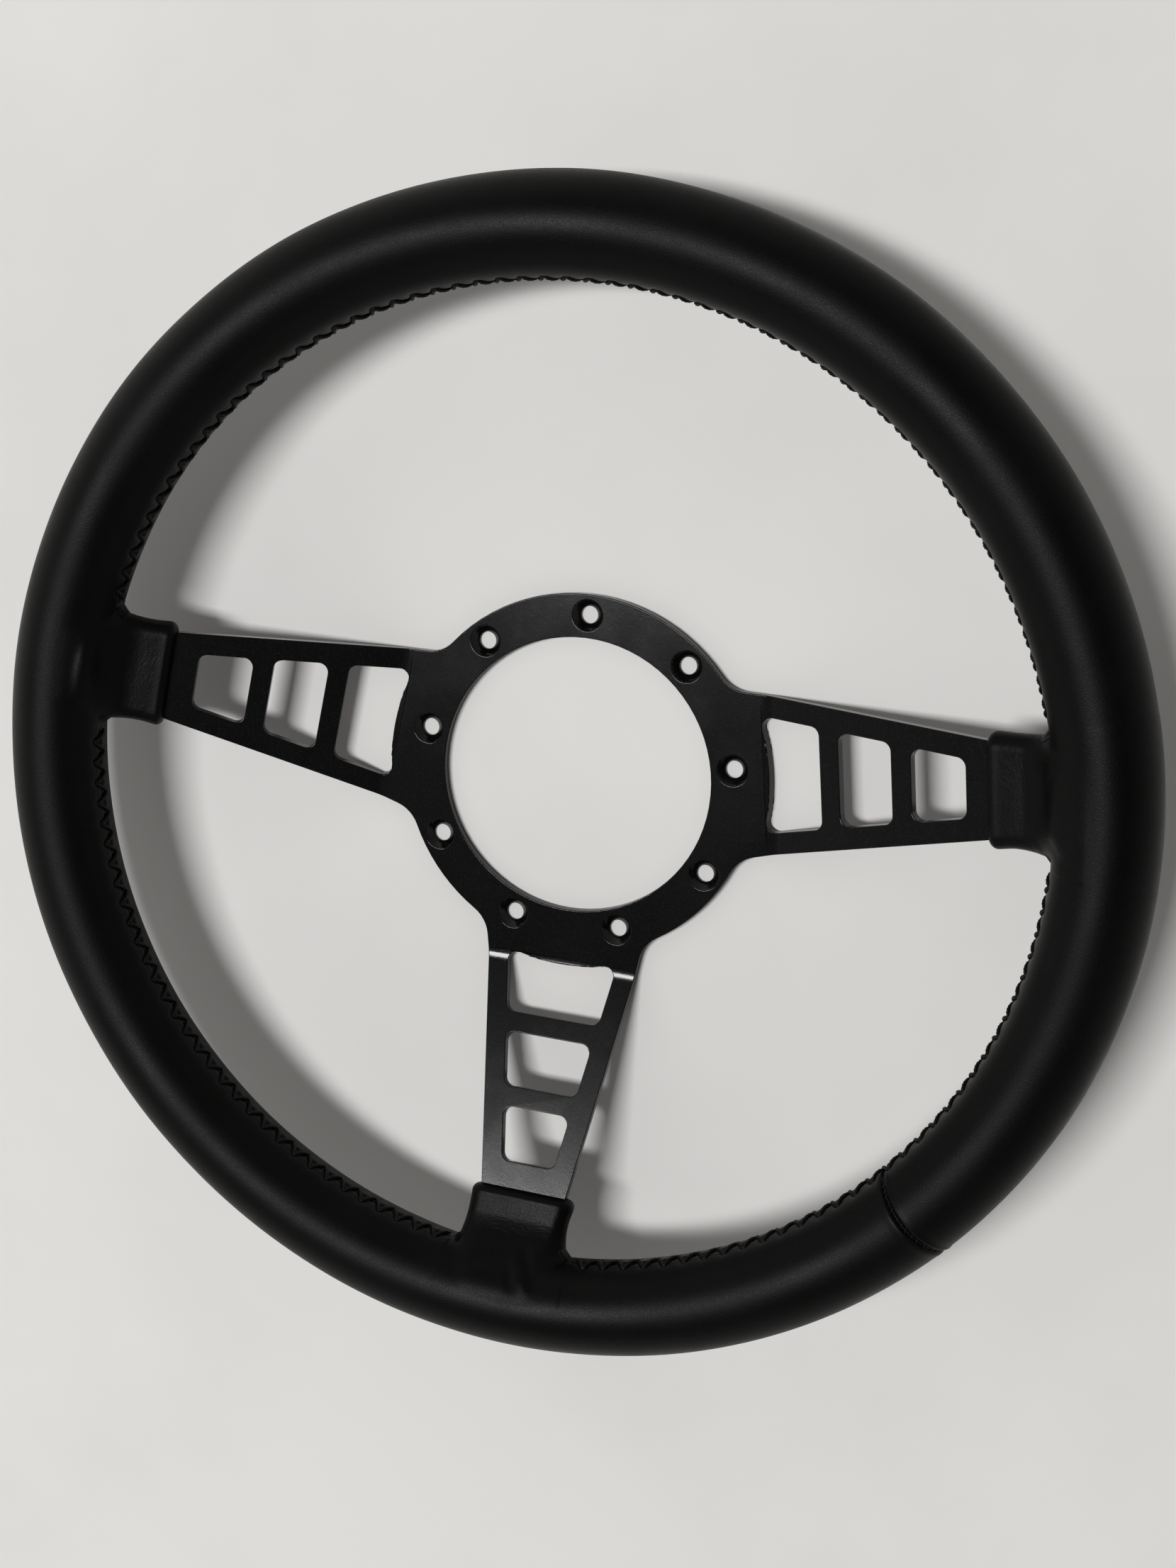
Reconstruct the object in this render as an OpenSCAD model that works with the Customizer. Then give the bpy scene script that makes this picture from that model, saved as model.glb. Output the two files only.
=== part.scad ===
// Dished three-spoke car steering wheel with a stitched leather rim, in millimetres.
// The wheel lies on its back: Z = 0 is the mounting face of the hub and +Z points at the driver.
// +Y is twelve o'clock and +X is the driver's right. The origin is the centre of the hub.

/* [Rim] */
// Outside diameter of the leather rim
rim_od = 356; // [330:1:400]
// Diameter of the grip's round section
grip_d = 29.5; // [27:0.5:34]
// Height of the grip's centre above the mounting face
rim_height = 34.3; // [24:0.1:46]

/* [Core and padding] */
// Outside diameter of the steel tube inside the rim
core_d = 16; // [14:0.5:18]
// Wall of the steel tube
core_wall = 1.5; // [1:0.1:2.5]
// Thickness of the leather
leather_t = 1.3; // [1:0.1:1.8]

/* [Hub] */
// Thickness of the coated plate
plate_t = 3.2; // [2.5:0.1:4]
// Outside diameter of the hub ring
hub_od = 114; // [112:0.5:118]
// Diameter of the centre hole
hub_bore_d = 87; // [78:0.5:89]
// Diameter of the circle of bolt holes
bolt_circle_d = 101; // [99:0.1:102]
// Number of bolt holes, the first at twelve o'clock
bolt_count = 9; // [3:1:12]
// Diameter of a bolt hole
bolt_hole_d = 5.4; // [4.5:0.1:6.4]
// Diameter of the countersink at the front face
countersink_d = 10; // [8:0.1:10.5]
// Full angle of the countersink's cone
countersink_angle = 90; // [82:1:120]

/* [Spokes] */
// Rise of the two side spokes above the horizontal, in degrees
side_spoke_rise = 8.2; // [0:0.1:20]
// Distance from the hub's centre to the line on which a spoke is bent forward
bend_line = 62; // [55:0.1:66]
// Radius of the bend, measured at the front face
bend_r = 14; // [4:0.5:20]
// Width of a spoke at its bend line
spoke_root_w = 49.2; // [46:0.1:54]
// Width of a spoke where it enters the leather
spoke_tip_w = 28.4; // [24:0.1:29.4]
// Radius of the corner between a spoke and the hub ring
spoke_fillet_r = 11; // [6:0.5:16]

/* [Windows] */
// Number of windows in a spoke
window_count = 3; // [1:1:3]
// Length of a window along the spoke
window_len = 17.1; // [12:0.1:18.2]
// Width of the bar between two windows
bar_w = 6.4; // [4:0.1:7]
// Width of the leg on each side of the windows
leg_w = 6.6; // [4:0.1:7]
// Plate left between the hub ring and the curved edge of the first window
hub_land = 5.3; // [3.6:0.1:7]
// Plate left between the last window and the leather
end_land = 7.8; // [5:0.1:9]
// Radius of a window's corners
window_corner_r = 3; // [1.5:0.1:4]

/* [Leather ears] */
// Distance from the hub's centre to the hem of the leather on a spoke
hem_r = 131; // [128:0.5:133]
// Width of an ear over the spoke
ear_w = 34; // [32:0.5:38]
// Height of the padding and leather above each face of the spoke
ear_pad = 3; // [2.4:0.1:4]
// Length over which an ear widens into the rim
flare_len = 10; // [7:0.5:18]
// Growth of an ear's width on each side by the time it meets the rim
flare_side = 3; // [2:0.5:7]
// Thickness of an ear where it meets the rim
flare_t = 20; // [16:0.5:22]

/* [Stitching] */
// Diameter of the sewing thread
thread_d = 1.1; // [0.8:0.1:1.4]
// Length of one full stitch along the rim
stitch_pitch = 6.6; // [5:0.1:9]
// Distance of a needle hole from the seam
stitch_half_w = 2.8; // [2:0.1:3.4]
// Depth of the valley where the leather's edges meet
valley_depth = 0.8; // [0.5:0.1:1]
// Place of the seam across the rim, in degrees from three o'clock
cross_seam_angle = -40; // [-70:1:-25]
// Depth of the groove of that seam
cross_groove_depth = 0.9; // [0.6:0.1:1.1]
// Distance of a needle hole from the seam at the back of an ear
ear_stitch_half_w = 1.8; // [1:0.1:3]

/* [Hidden] */
$fn = 96;

coat_black = "#2a2b2d";
leather_black = "#1b1b1c";
thread_black = "#0c0c0d";

grip_r = grip_d / 2;
core_r = core_d / 2;
rim_r = rim_od / 2 - grip_r;
hub_r = hub_od / 2;

right_spoke = side_spoke_rise;
left_spoke = 180 - side_spoke_rise;
bottom_spoke = 270;
spoke_angles = [right_spoke, left_spoke, bottom_spoke];

// The middle of a spoke's sheet points at the centre of the grip.
slope = atan2(rim_height - plate_t / 2, rim_r - bend_line);
bend_mid_r = bend_r + plate_t / 2;
bend_start = bend_line - bend_mid_r * tan(slope / 2);
bend_centre_z = plate_t + bend_r;
bend_steps = 12;
slope_start = bend_start + bend_mid_r * sin(slope);
slope_start_z = bend_centre_z - bend_mid_r * cos(slope);
spoke_reach = (rim_r - slope_start) / cos(slope);
// The hub's centre on the flat blank, seen from the sloping sheet's start.
blank_centre = -(bend_start + bend_mid_r * slope * PI / 180);

// A spoke's edge is a straight line in plan: half width as a function of distance from the centre.
edge_taper = (spoke_root_w - spoke_tip_w) / 2 / (hem_r - bend_line);
function spoke_half_w(x) = spoke_root_w / 2 - edge_taper * (x - bend_line);
function slope_to_plan(s) = slope_start + s * cos(slope);
hem_s = (hem_r - slope_start) / cos(slope);

ear_t = plate_t + 2 * ear_pad;
thread_r = thread_d / 2;
// Threads lie this far clear of the leather.
thread_gap = 0.15;
thread_sides = 6;
// The flare's wide end lies inside the grip.
flare_end = spoke_reach - 0.62 * grip_r;
flare_start = flare_end - flare_len;
slab = 0.1;
// Threads and valley stop short of the ears, and the cross seam stops short of the lacing.
ear_half_angle = asin((ear_w / 2 + flare_side + thread_d) / (rim_r - grip_r));
lace_spans = [[right_spoke + ear_half_angle, left_spoke - ear_half_angle],
              [left_spoke + ear_half_angle, bottom_spoke - ear_half_angle],
              [bottom_spoke + ear_half_angle, right_spoke + 360 - ear_half_angle]];
cross_end_gap = asin((stitch_half_w + 2 * thread_d) / grip_r);
// The valley is as wide as the stitches that cross it.
valley_r = (stitch_half_w * stitch_half_w + valley_depth * valley_depth) / (2 * valley_depth);
window_edge_taper = edge_taper * cos(slope);
far = rim_od;

// Places and directions on the rim, for an angle a round the wheel and b round the grip:
// n points out of the grip and p runs round it.
function rim_n(a, b) = [cos(b) * cos(a), cos(b) * sin(a), sin(b)];
function rim_p(a, b) = [-sin(b) * cos(a), -sin(b) * sin(a), cos(b)];
function on_rim(a, b, d) = rim_r * [cos(a), sin(a), 0] + [0, 0, rim_height] + d * rim_n(a, b);

// A closed tube through the points, whose rings lie along the two vectors given for each point.
module swept_tube(points, side_a, side_b, r, sides = thread_sides) {
    last = len(points) - 1;
    ring = [for (i = [0 : last]) for (k = [0 : sides - 1])
        points[i] + r * (cos(360 * k / sides) * side_a[i] + sin(360 * k / sides) * side_b[i])];
    walls = [for (i = [0 : last - 1]) for (k = [0 : sides - 1])
        let (a = i * sides + k, b = i * sides + (k + 1) % sides)
        each [[a, a + sides, b + sides], [a, b + sides, b]]];
    start_cap = [[for (k = [0 : sides - 1]) k]];
    end_cap = [[for (k = [sides - 1 : -1 : 0]) last * sides + k]];
    polyhedron(points = ring, faces = concat(walls, start_cap, end_cap));
}

// A ring of round section round the wheel's axis.
module rim_torus(r) {
    translate([0, 0, rim_height]) rotate_extrude() translate([rim_r, 0]) circle(r = r);
}

// Puts its children in the plane of a spoke's sheet: X along the spoke, Z out of the sheet.
module on_spoke(angle) {
    rotate(angle) translate([slope_start, 0, slope_start_z]) rotate([0, -slope, 0]) children();
}

// One spoke along +X and the two rounded corners between it and the hub ring, in plan.
module spoke_plan() {
    edge_len = sqrt(1 + edge_taper * edge_taper);
    out = [edge_taper, 1] / edge_len;
    along = [1, -edge_taper] / edge_len;
    edge_d = (spoke_root_w / 2 + edge_taper * bend_line) / edge_len;
    corner_d = edge_d + spoke_fillet_r;
    corner_r = hub_r + spoke_fillet_r;
    corner = corner_d * out + sqrt(corner_r * corner_r - corner_d * corner_d) * along;
    root_x = hub_bore_d / 4;
    polygon([[root_x, -spoke_half_w(root_x)], [rim_r, -spoke_half_w(rim_r)],
             [rim_r, spoke_half_w(rim_r)], [root_x, spoke_half_w(root_x)]]);
    for (side = [0, 1]) mirror([0, side]) difference() {
        polygon([[0, 0], corner - spoke_fillet_r * out, corner, corner * hub_r / corner_r]);
        translate(corner) circle(r = spoke_fillet_r);
    }
}

// Side view of the sheet along a spoke: a short flat length, then the bend, then the slope.
module bent_section() {
    function face(r) = [for (i = [0 : bend_steps]) let (a = slope * i / bend_steps)
        [bend_start + r * sin(a), bend_centre_z - r * cos(a)]];
    reach = spoke_reach * [cos(slope), sin(slope)];
    back = face(bend_r + plate_t);
    front = face(bend_r);
    polygon(concat([[bend_start - plate_t, 0]], back, [back[bend_steps] + reach, front[bend_steps] + reach],
                   [for (i = [bend_steps : -1 : 0]) front[i]], [[bend_start - plate_t, plate_t]]));
}

// The sheet as bent but not yet cut out: flat over the hub and rising along each spoke.
module bent_sheet() {
    linear_extrude(plate_t) difference() {
        square(2 * hub_od, center = true);
        for (a = spoke_angles) rotate(a) translate([bend_start, -far]) square([far, 2 * far]);
    }
    for (a = spoke_angles) rotate(a) rotate([90, 0, 0])
        linear_extrude(spoke_root_w + 2 * spoke_fillet_r, center = true) bent_section();
}

// The whole plate without holes or windows.
module plate_blank() {
    intersection() {
        bent_sheet();
        translate([0, 0, -plate_t]) linear_extrude(far) {
            circle(r = hub_r, $fn = 180);
            for (a = spoke_angles) rotate(a) spoke_plan();
        }
    }
}

// Window number i, counted outwards, in the plane of the sheet. The first one follows the hub ring.
module window_outline(i) {
    c = window_corner_r;
    k = window_edge_taper;
    edge_len = sqrt(1 + k * k);
    function half(s) = spoke_half_w(slope_to_plan(s)) - (leg_w + c) * edge_len;
    far_edge = hem_s - end_land - (window_count - 1 - i) * (window_len + bar_w);
    near_s = far_edge - window_len + c;
    blank = [blank_centre, 0];
    arc_r = hub_r + hub_land;
    q = half(blank_centre);
    arc_x = (q * k + sqrt(q * q * k * k - edge_len * edge_len * (q * q - pow(arc_r + c, 2)))) / pow(edge_len, 2);
    near_corner = i > 0 ? [near_s, half(near_s)] : blank + [arc_x, q - k * arc_x];
    near_end = i > 0 ? near_corner - [c, 0] : blank + (near_corner - blank) * arc_r / (arc_r + c);
    far_corner = [far_edge - c, half(far_edge - c)];
    out = c * [k, 1] / edge_len;
    upper = [near_end, near_corner + out, far_corner + out, far_corner + [c, 0]];
    lower = [for (j = [3 : -1 : 0]) [upper[j][0], -upper[j][1]]];
    difference() {
        polygon(concat(upper, lower));
        if (i == 0) translate(blank) circle(r = arc_r, $fn = 180);
    }
    for (centre = [near_corner, far_corner], side = [-1, 1]) translate([centre[0], side * centre[1]])
        circle(r = c, $fn = 32);
}

// A bolt hole with its countersink at the front face.
module bolt_hole() {
    sink_slope = tan(countersink_angle / 2);
    sink_depth = (countersink_d - bolt_hole_d) / 2 / sink_slope;
    over = 1;
    translate([0, 0, -over]) cylinder(r = bolt_hole_d / 2, h = plate_t + 2 * over, $fn = 48);
    translate([0, 0, plate_t - sink_depth])
        cylinder(r1 = bolt_hole_d / 2, r2 = countersink_d / 2 + over * sink_slope, h = sink_depth + over, $fn = 48);
}

// Steel plate: the hub ring and three spokes, cut in one piece and bent forward at the hub.
module spoke_plate() {
    color(coat_black) difference() {
        plate_blank();
        translate([0, 0, -plate_t]) cylinder(r = hub_bore_d / 2, h = 3 * plate_t, $fn = 180);
        for (i = [0 : bolt_count - 1]) rotate(90 - i * 360 / bolt_count) translate([bolt_circle_d / 2, 0]) bolt_hole();
        for (a = spoke_angles) on_spoke(a) for (i = [0 : window_count - 1])
            translate([0, 0, -plate_t]) linear_extrude(2 * plate_t) window_outline(i);
        rim_torus(core_r);
    }
}

// Steel tube bent to a ring, to which the tips of the spokes are welded.
module rim_core() {
    color("dimgray") difference() {
        rim_torus(core_r);
        rim_torus(core_r - core_wall);
    }
}

// Flat section with round sides, across a spoke.
module ear_section(w, t) {
    square([w - t, t], center = true);
    for (side = [-1, 1]) translate([side * (w - t) / 2, 0]) circle(r = t / 2, $fn = 32);
}

// The ears over the three spoke roots, drawn in by an inset from the leather's outer face.
module ears(inset) {
    for (a = spoke_angles) on_spoke(a) {
        translate([hem_s + inset, 0, 0]) rotate([90, 0, 90])
            linear_extrude(spoke_reach - hem_s - inset) ear_section(ear_w - 2 * inset, ear_t - 2 * inset);
        hull() {
            translate([flare_start, 0, 0]) rotate([90, 0, 90])
                linear_extrude(slab) ear_section(ear_w - 2 * inset, ear_t - 2 * inset);
            translate([flare_end, 0, 0]) rotate([90, 0, 90])
                linear_extrude(slab) ear_section(ear_w + 2 * flare_side - 2 * inset, flare_t - 2 * inset);
        }
    }
}

// Moulded foam round the tube, with a pad over each spoke root.
module foam_core() {
    color("#3a3a38") difference() {
        union() {
            rim_torus(grip_r - leather_t);
            ears(leather_t);
        }
        rim_torus(core_r);
        plate_blank();
    }
}

// The valley on the inside of the rim between two ears, where the leather's edges are laced together.
module lace_valley(from, to) {
    translate([0, 0, rim_height]) rotate(from) rotate_extrude(angle = to - from)
        translate([rim_r - grip_r + valley_depth - valley_r, 0]) circle(r = valley_r);
}

// Puts its children in the plane of the rim's section at the cross seam, with X out of the wheel.
module at_cross_seam() {
    rotate(cross_seam_angle) translate([rim_r, 0, rim_height]) rotate([90, 0, 0]) children();
}

// One hide round the whole rim, with an ear over each spoke, closed by a seam across the rim.
module leather_cover() {
    color(leather_black) difference() {
        union() {
            rim_torus(grip_r);
            ears(0);
        }
        rim_torus(grip_r - leather_t);
        ears(leather_t);
        plate_blank();
        for (span = lace_spans) lace_valley(span[0], span[1]);
        at_cross_seam() rotate(cross_end_gap - 180) rotate_extrude(angle = 360 - 2 * cross_end_gap)
            translate([grip_r, 0]) circle(r = cross_groove_depth, $fn = 24);
    }
}

// Lacing thread that zigzags over the valley between two ears.
module lace(span) {
    legs = 2 * floor((span[1] - span[0]) * PI / 180 * (rim_r - grip_r) / stitch_pitch);
    step = (span[1] - span[0]) / (legs + 1);
    hole_angle = asin(stitch_half_w / (grip_r + thread_r + thread_gap));
    advance = step * PI / 180 * (rim_r - grip_r);
    stretch = norm([advance, 2 * stitch_half_w]) / advance;
    places = [for (i = [0 : legs]) [span[0] + (i + 0.5) * step, 180 + (i % 2 == 0 ? hole_angle : -hole_angle)]];
    color(thread_black) swept_tube(
        [for (q = places) on_rim(q[0], q[1], grip_r + thread_r + thread_gap)],
        [for (q = places) rim_n(q[0], q[1])],
        [for (q = places) stretch * rim_p(q[0], q[1])], thread_r);
}

module lace_top() { lace(lace_spans[0]); }
module lace_left() { lace(lace_spans[1]); }
module lace_right() { lace(lace_spans[2]); }

// Thread sunk in the groove of the seam across the rim.
module cross_seam_thread() {
    color(thread_black) at_cross_seam() rotate(cross_end_gap + 1 - 180)
        rotate_extrude(angle = 358 - 2 * cross_end_gap)
            translate([grip_r - cross_groove_depth + thread_r + thread_gap, 0]) circle(r = thread_r, $fn = 24);
}

// Thread that closes an ear down the middle of its back.
module ear_thread(a) {
    first_s = hem_s + stitch_pitch / 3;
    last_s = spoke_reach - grip_r;
    legs = floor(2 * (last_s - first_s) / stitch_pitch);
    advance = (last_s - first_s) / legs;
    stretch = norm([advance, 2 * ear_stitch_half_w]) / advance;
    function back(s) = ear_t / 2 + max(0, s - flare_start) * (flare_t - ear_t) / 2 / (flare_end - flare_start);
    color(thread_black) on_spoke(a) swept_tube(
        [for (i = [0 : legs]) let (s = first_s + i * advance)
            [s, (i % 2 == 0 ? 1 : -1) * ear_stitch_half_w, -back(s) - thread_r - thread_gap]],
        [for (i = [0 : legs]) [0, stretch, 0]],
        [for (i = [0 : legs]) [0, 0, 1]], thread_r);
}

module ear_thread_left() { ear_thread(left_spoke); }
module ear_thread_right() { ear_thread(right_spoke); }
module ear_thread_bottom() { ear_thread(bottom_spoke); }

spoke_plate();
rim_core();
foam_core();
leather_cover();
lace_top();
lace_left();
lace_right();
cross_seam_thread();
ear_thread_left();
ear_thread_right();
ear_thread_bottom();
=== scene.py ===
"""Looks of a dished three-spoke car steering wheel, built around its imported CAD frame.

The wheel lies on its back on a pale floor: +Z points at the driver, +Y is twelve o'clock and the origin is
the centre of the hub's back face. Shapes are worked out in millimetres and put into meshes in metres.
Angle a runs round the wheel from three o'clock, and angle b runs round the grip's section: b = 0 is the
outside of the rim, 90 degrees the side towards the driver and 180 degrees the laced inside.
"""

import logging
import math
from collections.abc import Callable
from dataclasses import dataclass
from enum import Enum

import bmesh
import bpy
import numpy as np
from mathutils import Euler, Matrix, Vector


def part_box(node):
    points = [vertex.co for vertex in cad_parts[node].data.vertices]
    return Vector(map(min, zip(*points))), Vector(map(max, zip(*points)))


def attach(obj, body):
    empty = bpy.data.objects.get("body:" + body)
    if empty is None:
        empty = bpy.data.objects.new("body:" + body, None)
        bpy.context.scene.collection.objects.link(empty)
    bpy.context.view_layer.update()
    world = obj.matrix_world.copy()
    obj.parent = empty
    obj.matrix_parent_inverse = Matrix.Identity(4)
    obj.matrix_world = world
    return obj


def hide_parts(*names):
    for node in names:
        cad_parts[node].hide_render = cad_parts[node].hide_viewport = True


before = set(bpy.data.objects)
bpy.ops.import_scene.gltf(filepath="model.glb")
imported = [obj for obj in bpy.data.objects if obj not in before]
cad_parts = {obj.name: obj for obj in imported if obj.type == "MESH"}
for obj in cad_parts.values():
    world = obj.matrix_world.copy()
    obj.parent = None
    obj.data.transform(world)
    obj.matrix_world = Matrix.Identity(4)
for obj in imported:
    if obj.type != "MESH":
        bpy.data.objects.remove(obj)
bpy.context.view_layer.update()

log = logging.getLogger("steering_wheel")

MM = 0.001
BODY = "root"
Array = np.ndarray
Colour = tuple[float, float, float]
Rgba = tuple[float, float, float, float]
NOISE_RANGE = (0.3, 0.7)


class Side(Enum):
    """The three spokes, by the side of the wheel that each one reaches."""

    RIGHT = "right"
    LEFT = "left"
    BOTTOM = "bottom"


def smooth_step(x: Array, low: float, high: float) -> Array:
    """Rises from 0 at low to 1 at high along t * t * (3 - 2 * t).

    Args:
        x: Values to look up.
        low: Value at which the step starts.
        high: Value at which the step ends.

    Returns:
        An array of the same shape, from 0 to 1.
    """
    t = np.clip((x - low) / (high - low), 0, 1)
    return t * t * (3 - 2 * t)


def bell(x: Array, width: float) -> Array:
    """The curve exp(-(x / width) ** 2), which is 1 at x = 0."""
    return np.exp(-((x / width) ** 2))


def zone(x: Array, low: float, high: float, out_low: float, out_high: float) -> Array:
    """1 between high and out_low, with smooth steps up from low and down to out_high."""
    return smooth_step(x, low, high) * (1 - smooth_step(x, out_low, out_high))


def wrapped(angle: Array) -> Array:
    """Angles turned into the range from -pi to pi."""
    return np.mod(angle + math.pi, math.tau) - math.pi


def zigzag(t: Array) -> Array:
    """A line that is 1 at each even t and -1 at each odd t."""
    return 1 - 2 * np.abs(t - 2 * np.round(t / 2))


def arches(t: Array) -> Array:
    """0 at each whole t, with a steep rise to a flat top of 1 halfway between."""
    return np.abs(np.sin(np.pi * t)) ** 0.5


def unit(v: Array) -> Array:
    """Each vector of the last axis, divided by its length."""
    return v / np.linalg.norm(v, axis=-1, keepdims=True)


def ripples(x: Array, y: Array, wavelength: float, seed: int, waves: int = 9) -> Array:
    """Smooth unevenness: the mean of sine waves with seeded directions, lengths and phases.

    Args:
        x: First coordinate, in the wavelength's unit.
        y: Second coordinate.
        wavelength: Middle wavelength.
        seed: Seed of the directions and phases.
        waves: Number of waves.

    Returns:
        Values of about -1 to 1, of the shape of x.
    """
    rng = np.random.default_rng(seed)
    total = np.zeros_like(x)
    for turn, phase, stretch in zip(rng.uniform(0, math.pi, waves), rng.uniform(0, math.tau, waves),
                                    rng.uniform(0.6, 1.6, waves)):
        k = math.tau / (wavelength * stretch)
        total += np.sin(k * (x * math.cos(turn) + y * math.sin(turn)) + phase)
    return total / math.sqrt(waves)


def rounded_corner(u: Array, v: Array) -> Array:
    """Distance from the corner between two walls at distances u and v: round outside and sharp inside."""
    return np.hypot(np.maximum(u, 0), np.maximum(v, 0)) + np.minimum(np.maximum(u, v), 0)


@dataclass(frozen=True)
class WheelSizes:
    """Sizes of the wheel in millimetres that several pieces share. The frame gives those of the rim."""

    rim_r: float
    rim_z: float
    grip_r: float
    plate_t: float = 3.2
    bend_line: float = 62.0
    bend_r: float = 14.0
    hem_r: float = 131.0
    side_rise: float = 8.2
    stitch_pitch: float = 6.6
    stitch_half_w: float = 2.8
    ear_reach: float = 19.8
    cross_seam: float = -40.0

    @classmethod
    def from_frame(cls) -> "WheelSizes":
        """Reads the rim's circle and the grip's radius off the steel tube and the leather.

        Returns:
            The sizes.
        """
        low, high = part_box("rim_core")
        tube_r = (high.z - low.z) / 2
        rim_z = (high.z + low.z) / 2
        grip_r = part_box("leather_cover")[1].z - rim_z
        return cls(rim_r=((high.x - low.x) / 2 - tube_r) / MM, rim_z=rim_z / MM, grip_r=grip_r / MM)

    @property
    def inner_r(self) -> float:
        """Radius of the rim's innermost circle."""
        return self.rim_r - self.grip_r

    @property
    def slope(self) -> float:
        """Angle of a spoke's sheet, whose middle points at the centre of the grip."""
        return math.atan2(self.rim_z - self.plate_t / 2, self.rim_r - self.bend_line)

    @property
    def slope_start(self) -> tuple[float, float]:
        """Distance from the axis and height at which the middle of the sloping sheet starts."""
        bend_mid = self.bend_r + self.plate_t / 2
        start = self.bend_line - bend_mid * math.tan(self.slope / 2)
        height = self.plate_t + self.bend_r - bend_mid * math.cos(self.slope)
        return start + bend_mid * math.sin(self.slope), height

    @property
    def hem_s(self) -> float:
        """Distance of the leather's hem along the sloping sheet."""
        return (self.hem_r - self.slope_start[0]) / math.cos(self.slope)

    @property
    def reach_s(self) -> float:
        """Distance of the grip's centre along the sloping sheet."""
        return (self.rim_r - self.slope_start[0]) / math.cos(self.slope)

    @property
    def ear_half_angle(self) -> float:
        """Half of the angle that an ear takes up on the rim's inside."""
        return math.asin(self.ear_reach / self.inner_r)

    def spoke_angle(self, side: Side) -> float:
        """Direction of a spoke, in radians from three o'clock."""
        degrees = {Side.RIGHT: self.side_rise, Side.LEFT: 180 - self.side_rise, Side.BOTTOM: 270}[side]
        return math.radians(degrees)

    def to_spoke(self, points: Array, angle: float) -> Array:
        """Turns wheel coordinates into a spoke's own: x up the sheet, y across it and z out of its face."""
        r0, z0 = self.slope_start
        c, s = math.cos(angle), math.sin(angle)
        out = points[..., 0] * c + points[..., 1] * s - r0
        across = points[..., 1] * c - points[..., 0] * s
        up = points[..., 2] - z0
        cs, ss = math.cos(self.slope), math.sin(self.slope)
        return np.stack([out * cs + up * ss, across, up * cs - out * ss], -1)

    def from_spoke(self, points: Array, angle: float) -> Array:
        """Turns a spoke's own coordinates back into the wheel's."""
        r0, z0 = self.slope_start
        cs, ss = math.cos(self.slope), math.sin(self.slope)
        out = points[..., 0] * cs - points[..., 2] * ss + r0
        up = points[..., 0] * ss + points[..., 2] * cs + z0
        c, s = math.cos(angle), math.sin(angle)
        return np.stack([out * c - points[..., 1] * s, out * s + points[..., 1] * c, up], -1)

    def on_grip(self, a: Array, b: Array, d: Array) -> Array:
        """Points at angle a round the wheel, angle b round the grip and distance d from the grip's centre."""
        r = self.rim_r + d * np.cos(b)
        return np.stack([r * np.cos(a), r * np.sin(a), self.rim_z + d * np.sin(b)], -1)

    def grip_normal(self, a: Array, b: Array) -> Array:
        """Directions that point straight out of the grip."""
        return np.stack([np.cos(b) * np.cos(a), np.cos(b) * np.sin(a), np.sin(b) + 0 * a], -1)


@dataclass(frozen=True)
class LaceSpan:
    """One run of lacing between two ears, with its needle holes at even steps."""

    start: float
    end: float
    legs: int

    @classmethod
    def between(cls, sizes: WheelSizes, start: float, end: float) -> "LaceSpan":
        """Fits whole stitches into the span.

        Args:
            sizes: Sizes of the wheel.
            start: Angle of the spoke before the span, in radians.
            end: Angle of the spoke after it.

        Returns:
            The span, with two legs of thread to each stitch.
        """
        low, high = start + sizes.ear_half_angle, end - sizes.ear_half_angle
        return cls(low, high, 2 * math.floor((high - low) * sizes.inner_r / sizes.stitch_pitch))

    @property
    def step(self) -> float:
        """Angle from one needle hole to the next."""
        return (self.end - self.start) / (self.legs + 1)

    def hole_number(self, a: Array) -> Array:
        """Place of an angle in needle holes: 0 at the first hole, 1 at the second and so on."""
        return (a - self.start) / self.step - 0.5


def lace_spans(sizes: WheelSizes) -> dict[str, LaceSpan]:
    """The three runs of lacing, under the names of their CAD nodes."""
    right, left, bottom = (sizes.spoke_angle(side) for side in (Side.RIGHT, Side.LEFT, Side.BOTTOM))
    return {
        "lace_top": LaceSpan.between(sizes, right, left),
        "lace_left": LaceSpan.between(sizes, left, bottom),
        "lace_right": LaceSpan.between(sizes, bottom, right + math.tau),
    }


def make_piece(name: str, points: Array, faces: list[list[int]], material: bpy.types.Material,
               replaces: tuple[str, ...] = ()) -> bpy.types.Object:
    """Puts a surface into a smooth-shaded mesh object that rides on the wheel.

    Args:
        name: Name of the piece.
        points: Corners in millimetres, one row each.
        faces: Corner numbers of each face, turned so that the face points outwards.
        material: Finish of the piece.
        replaces: CAD nodes that it stands for.

    Returns:
        The new object.
    """
    mesh = bpy.data.meshes.new(name)
    mesh.from_pydata((points.reshape(-1, 3) * MM).tolist(), [], faces)
    mesh.shade_smooth()
    mesh.materials.append(material)
    piece = bpy.data.objects.new(name, mesh)
    bpy.context.scene.collection.objects.link(piece)
    hand_over(piece, replaces)
    return piece


def hand_over(piece: bpy.types.Object, replaces: tuple[str, ...] = ()) -> None:
    """Says which body and CAD nodes a finished piece belongs to, and logs its size."""
    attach(piece, BODY)
    if replaces:
        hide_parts(*replaces)
    piece.data.calc_loop_triangles()
    log.info("%s: %d triangles before modifiers", piece.name, len(piece.data.loop_triangles))


def add_vectors(piece: bpy.types.Object, name: str, values: Array) -> None:
    """Stores one vector for each corner of a mesh as a named attribute."""
    attribute = piece.data.attributes.new(name, "FLOAT_VECTOR", "POINT")
    attribute.data.foreach_set("vector", values.astype(np.float32).ravel())


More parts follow.
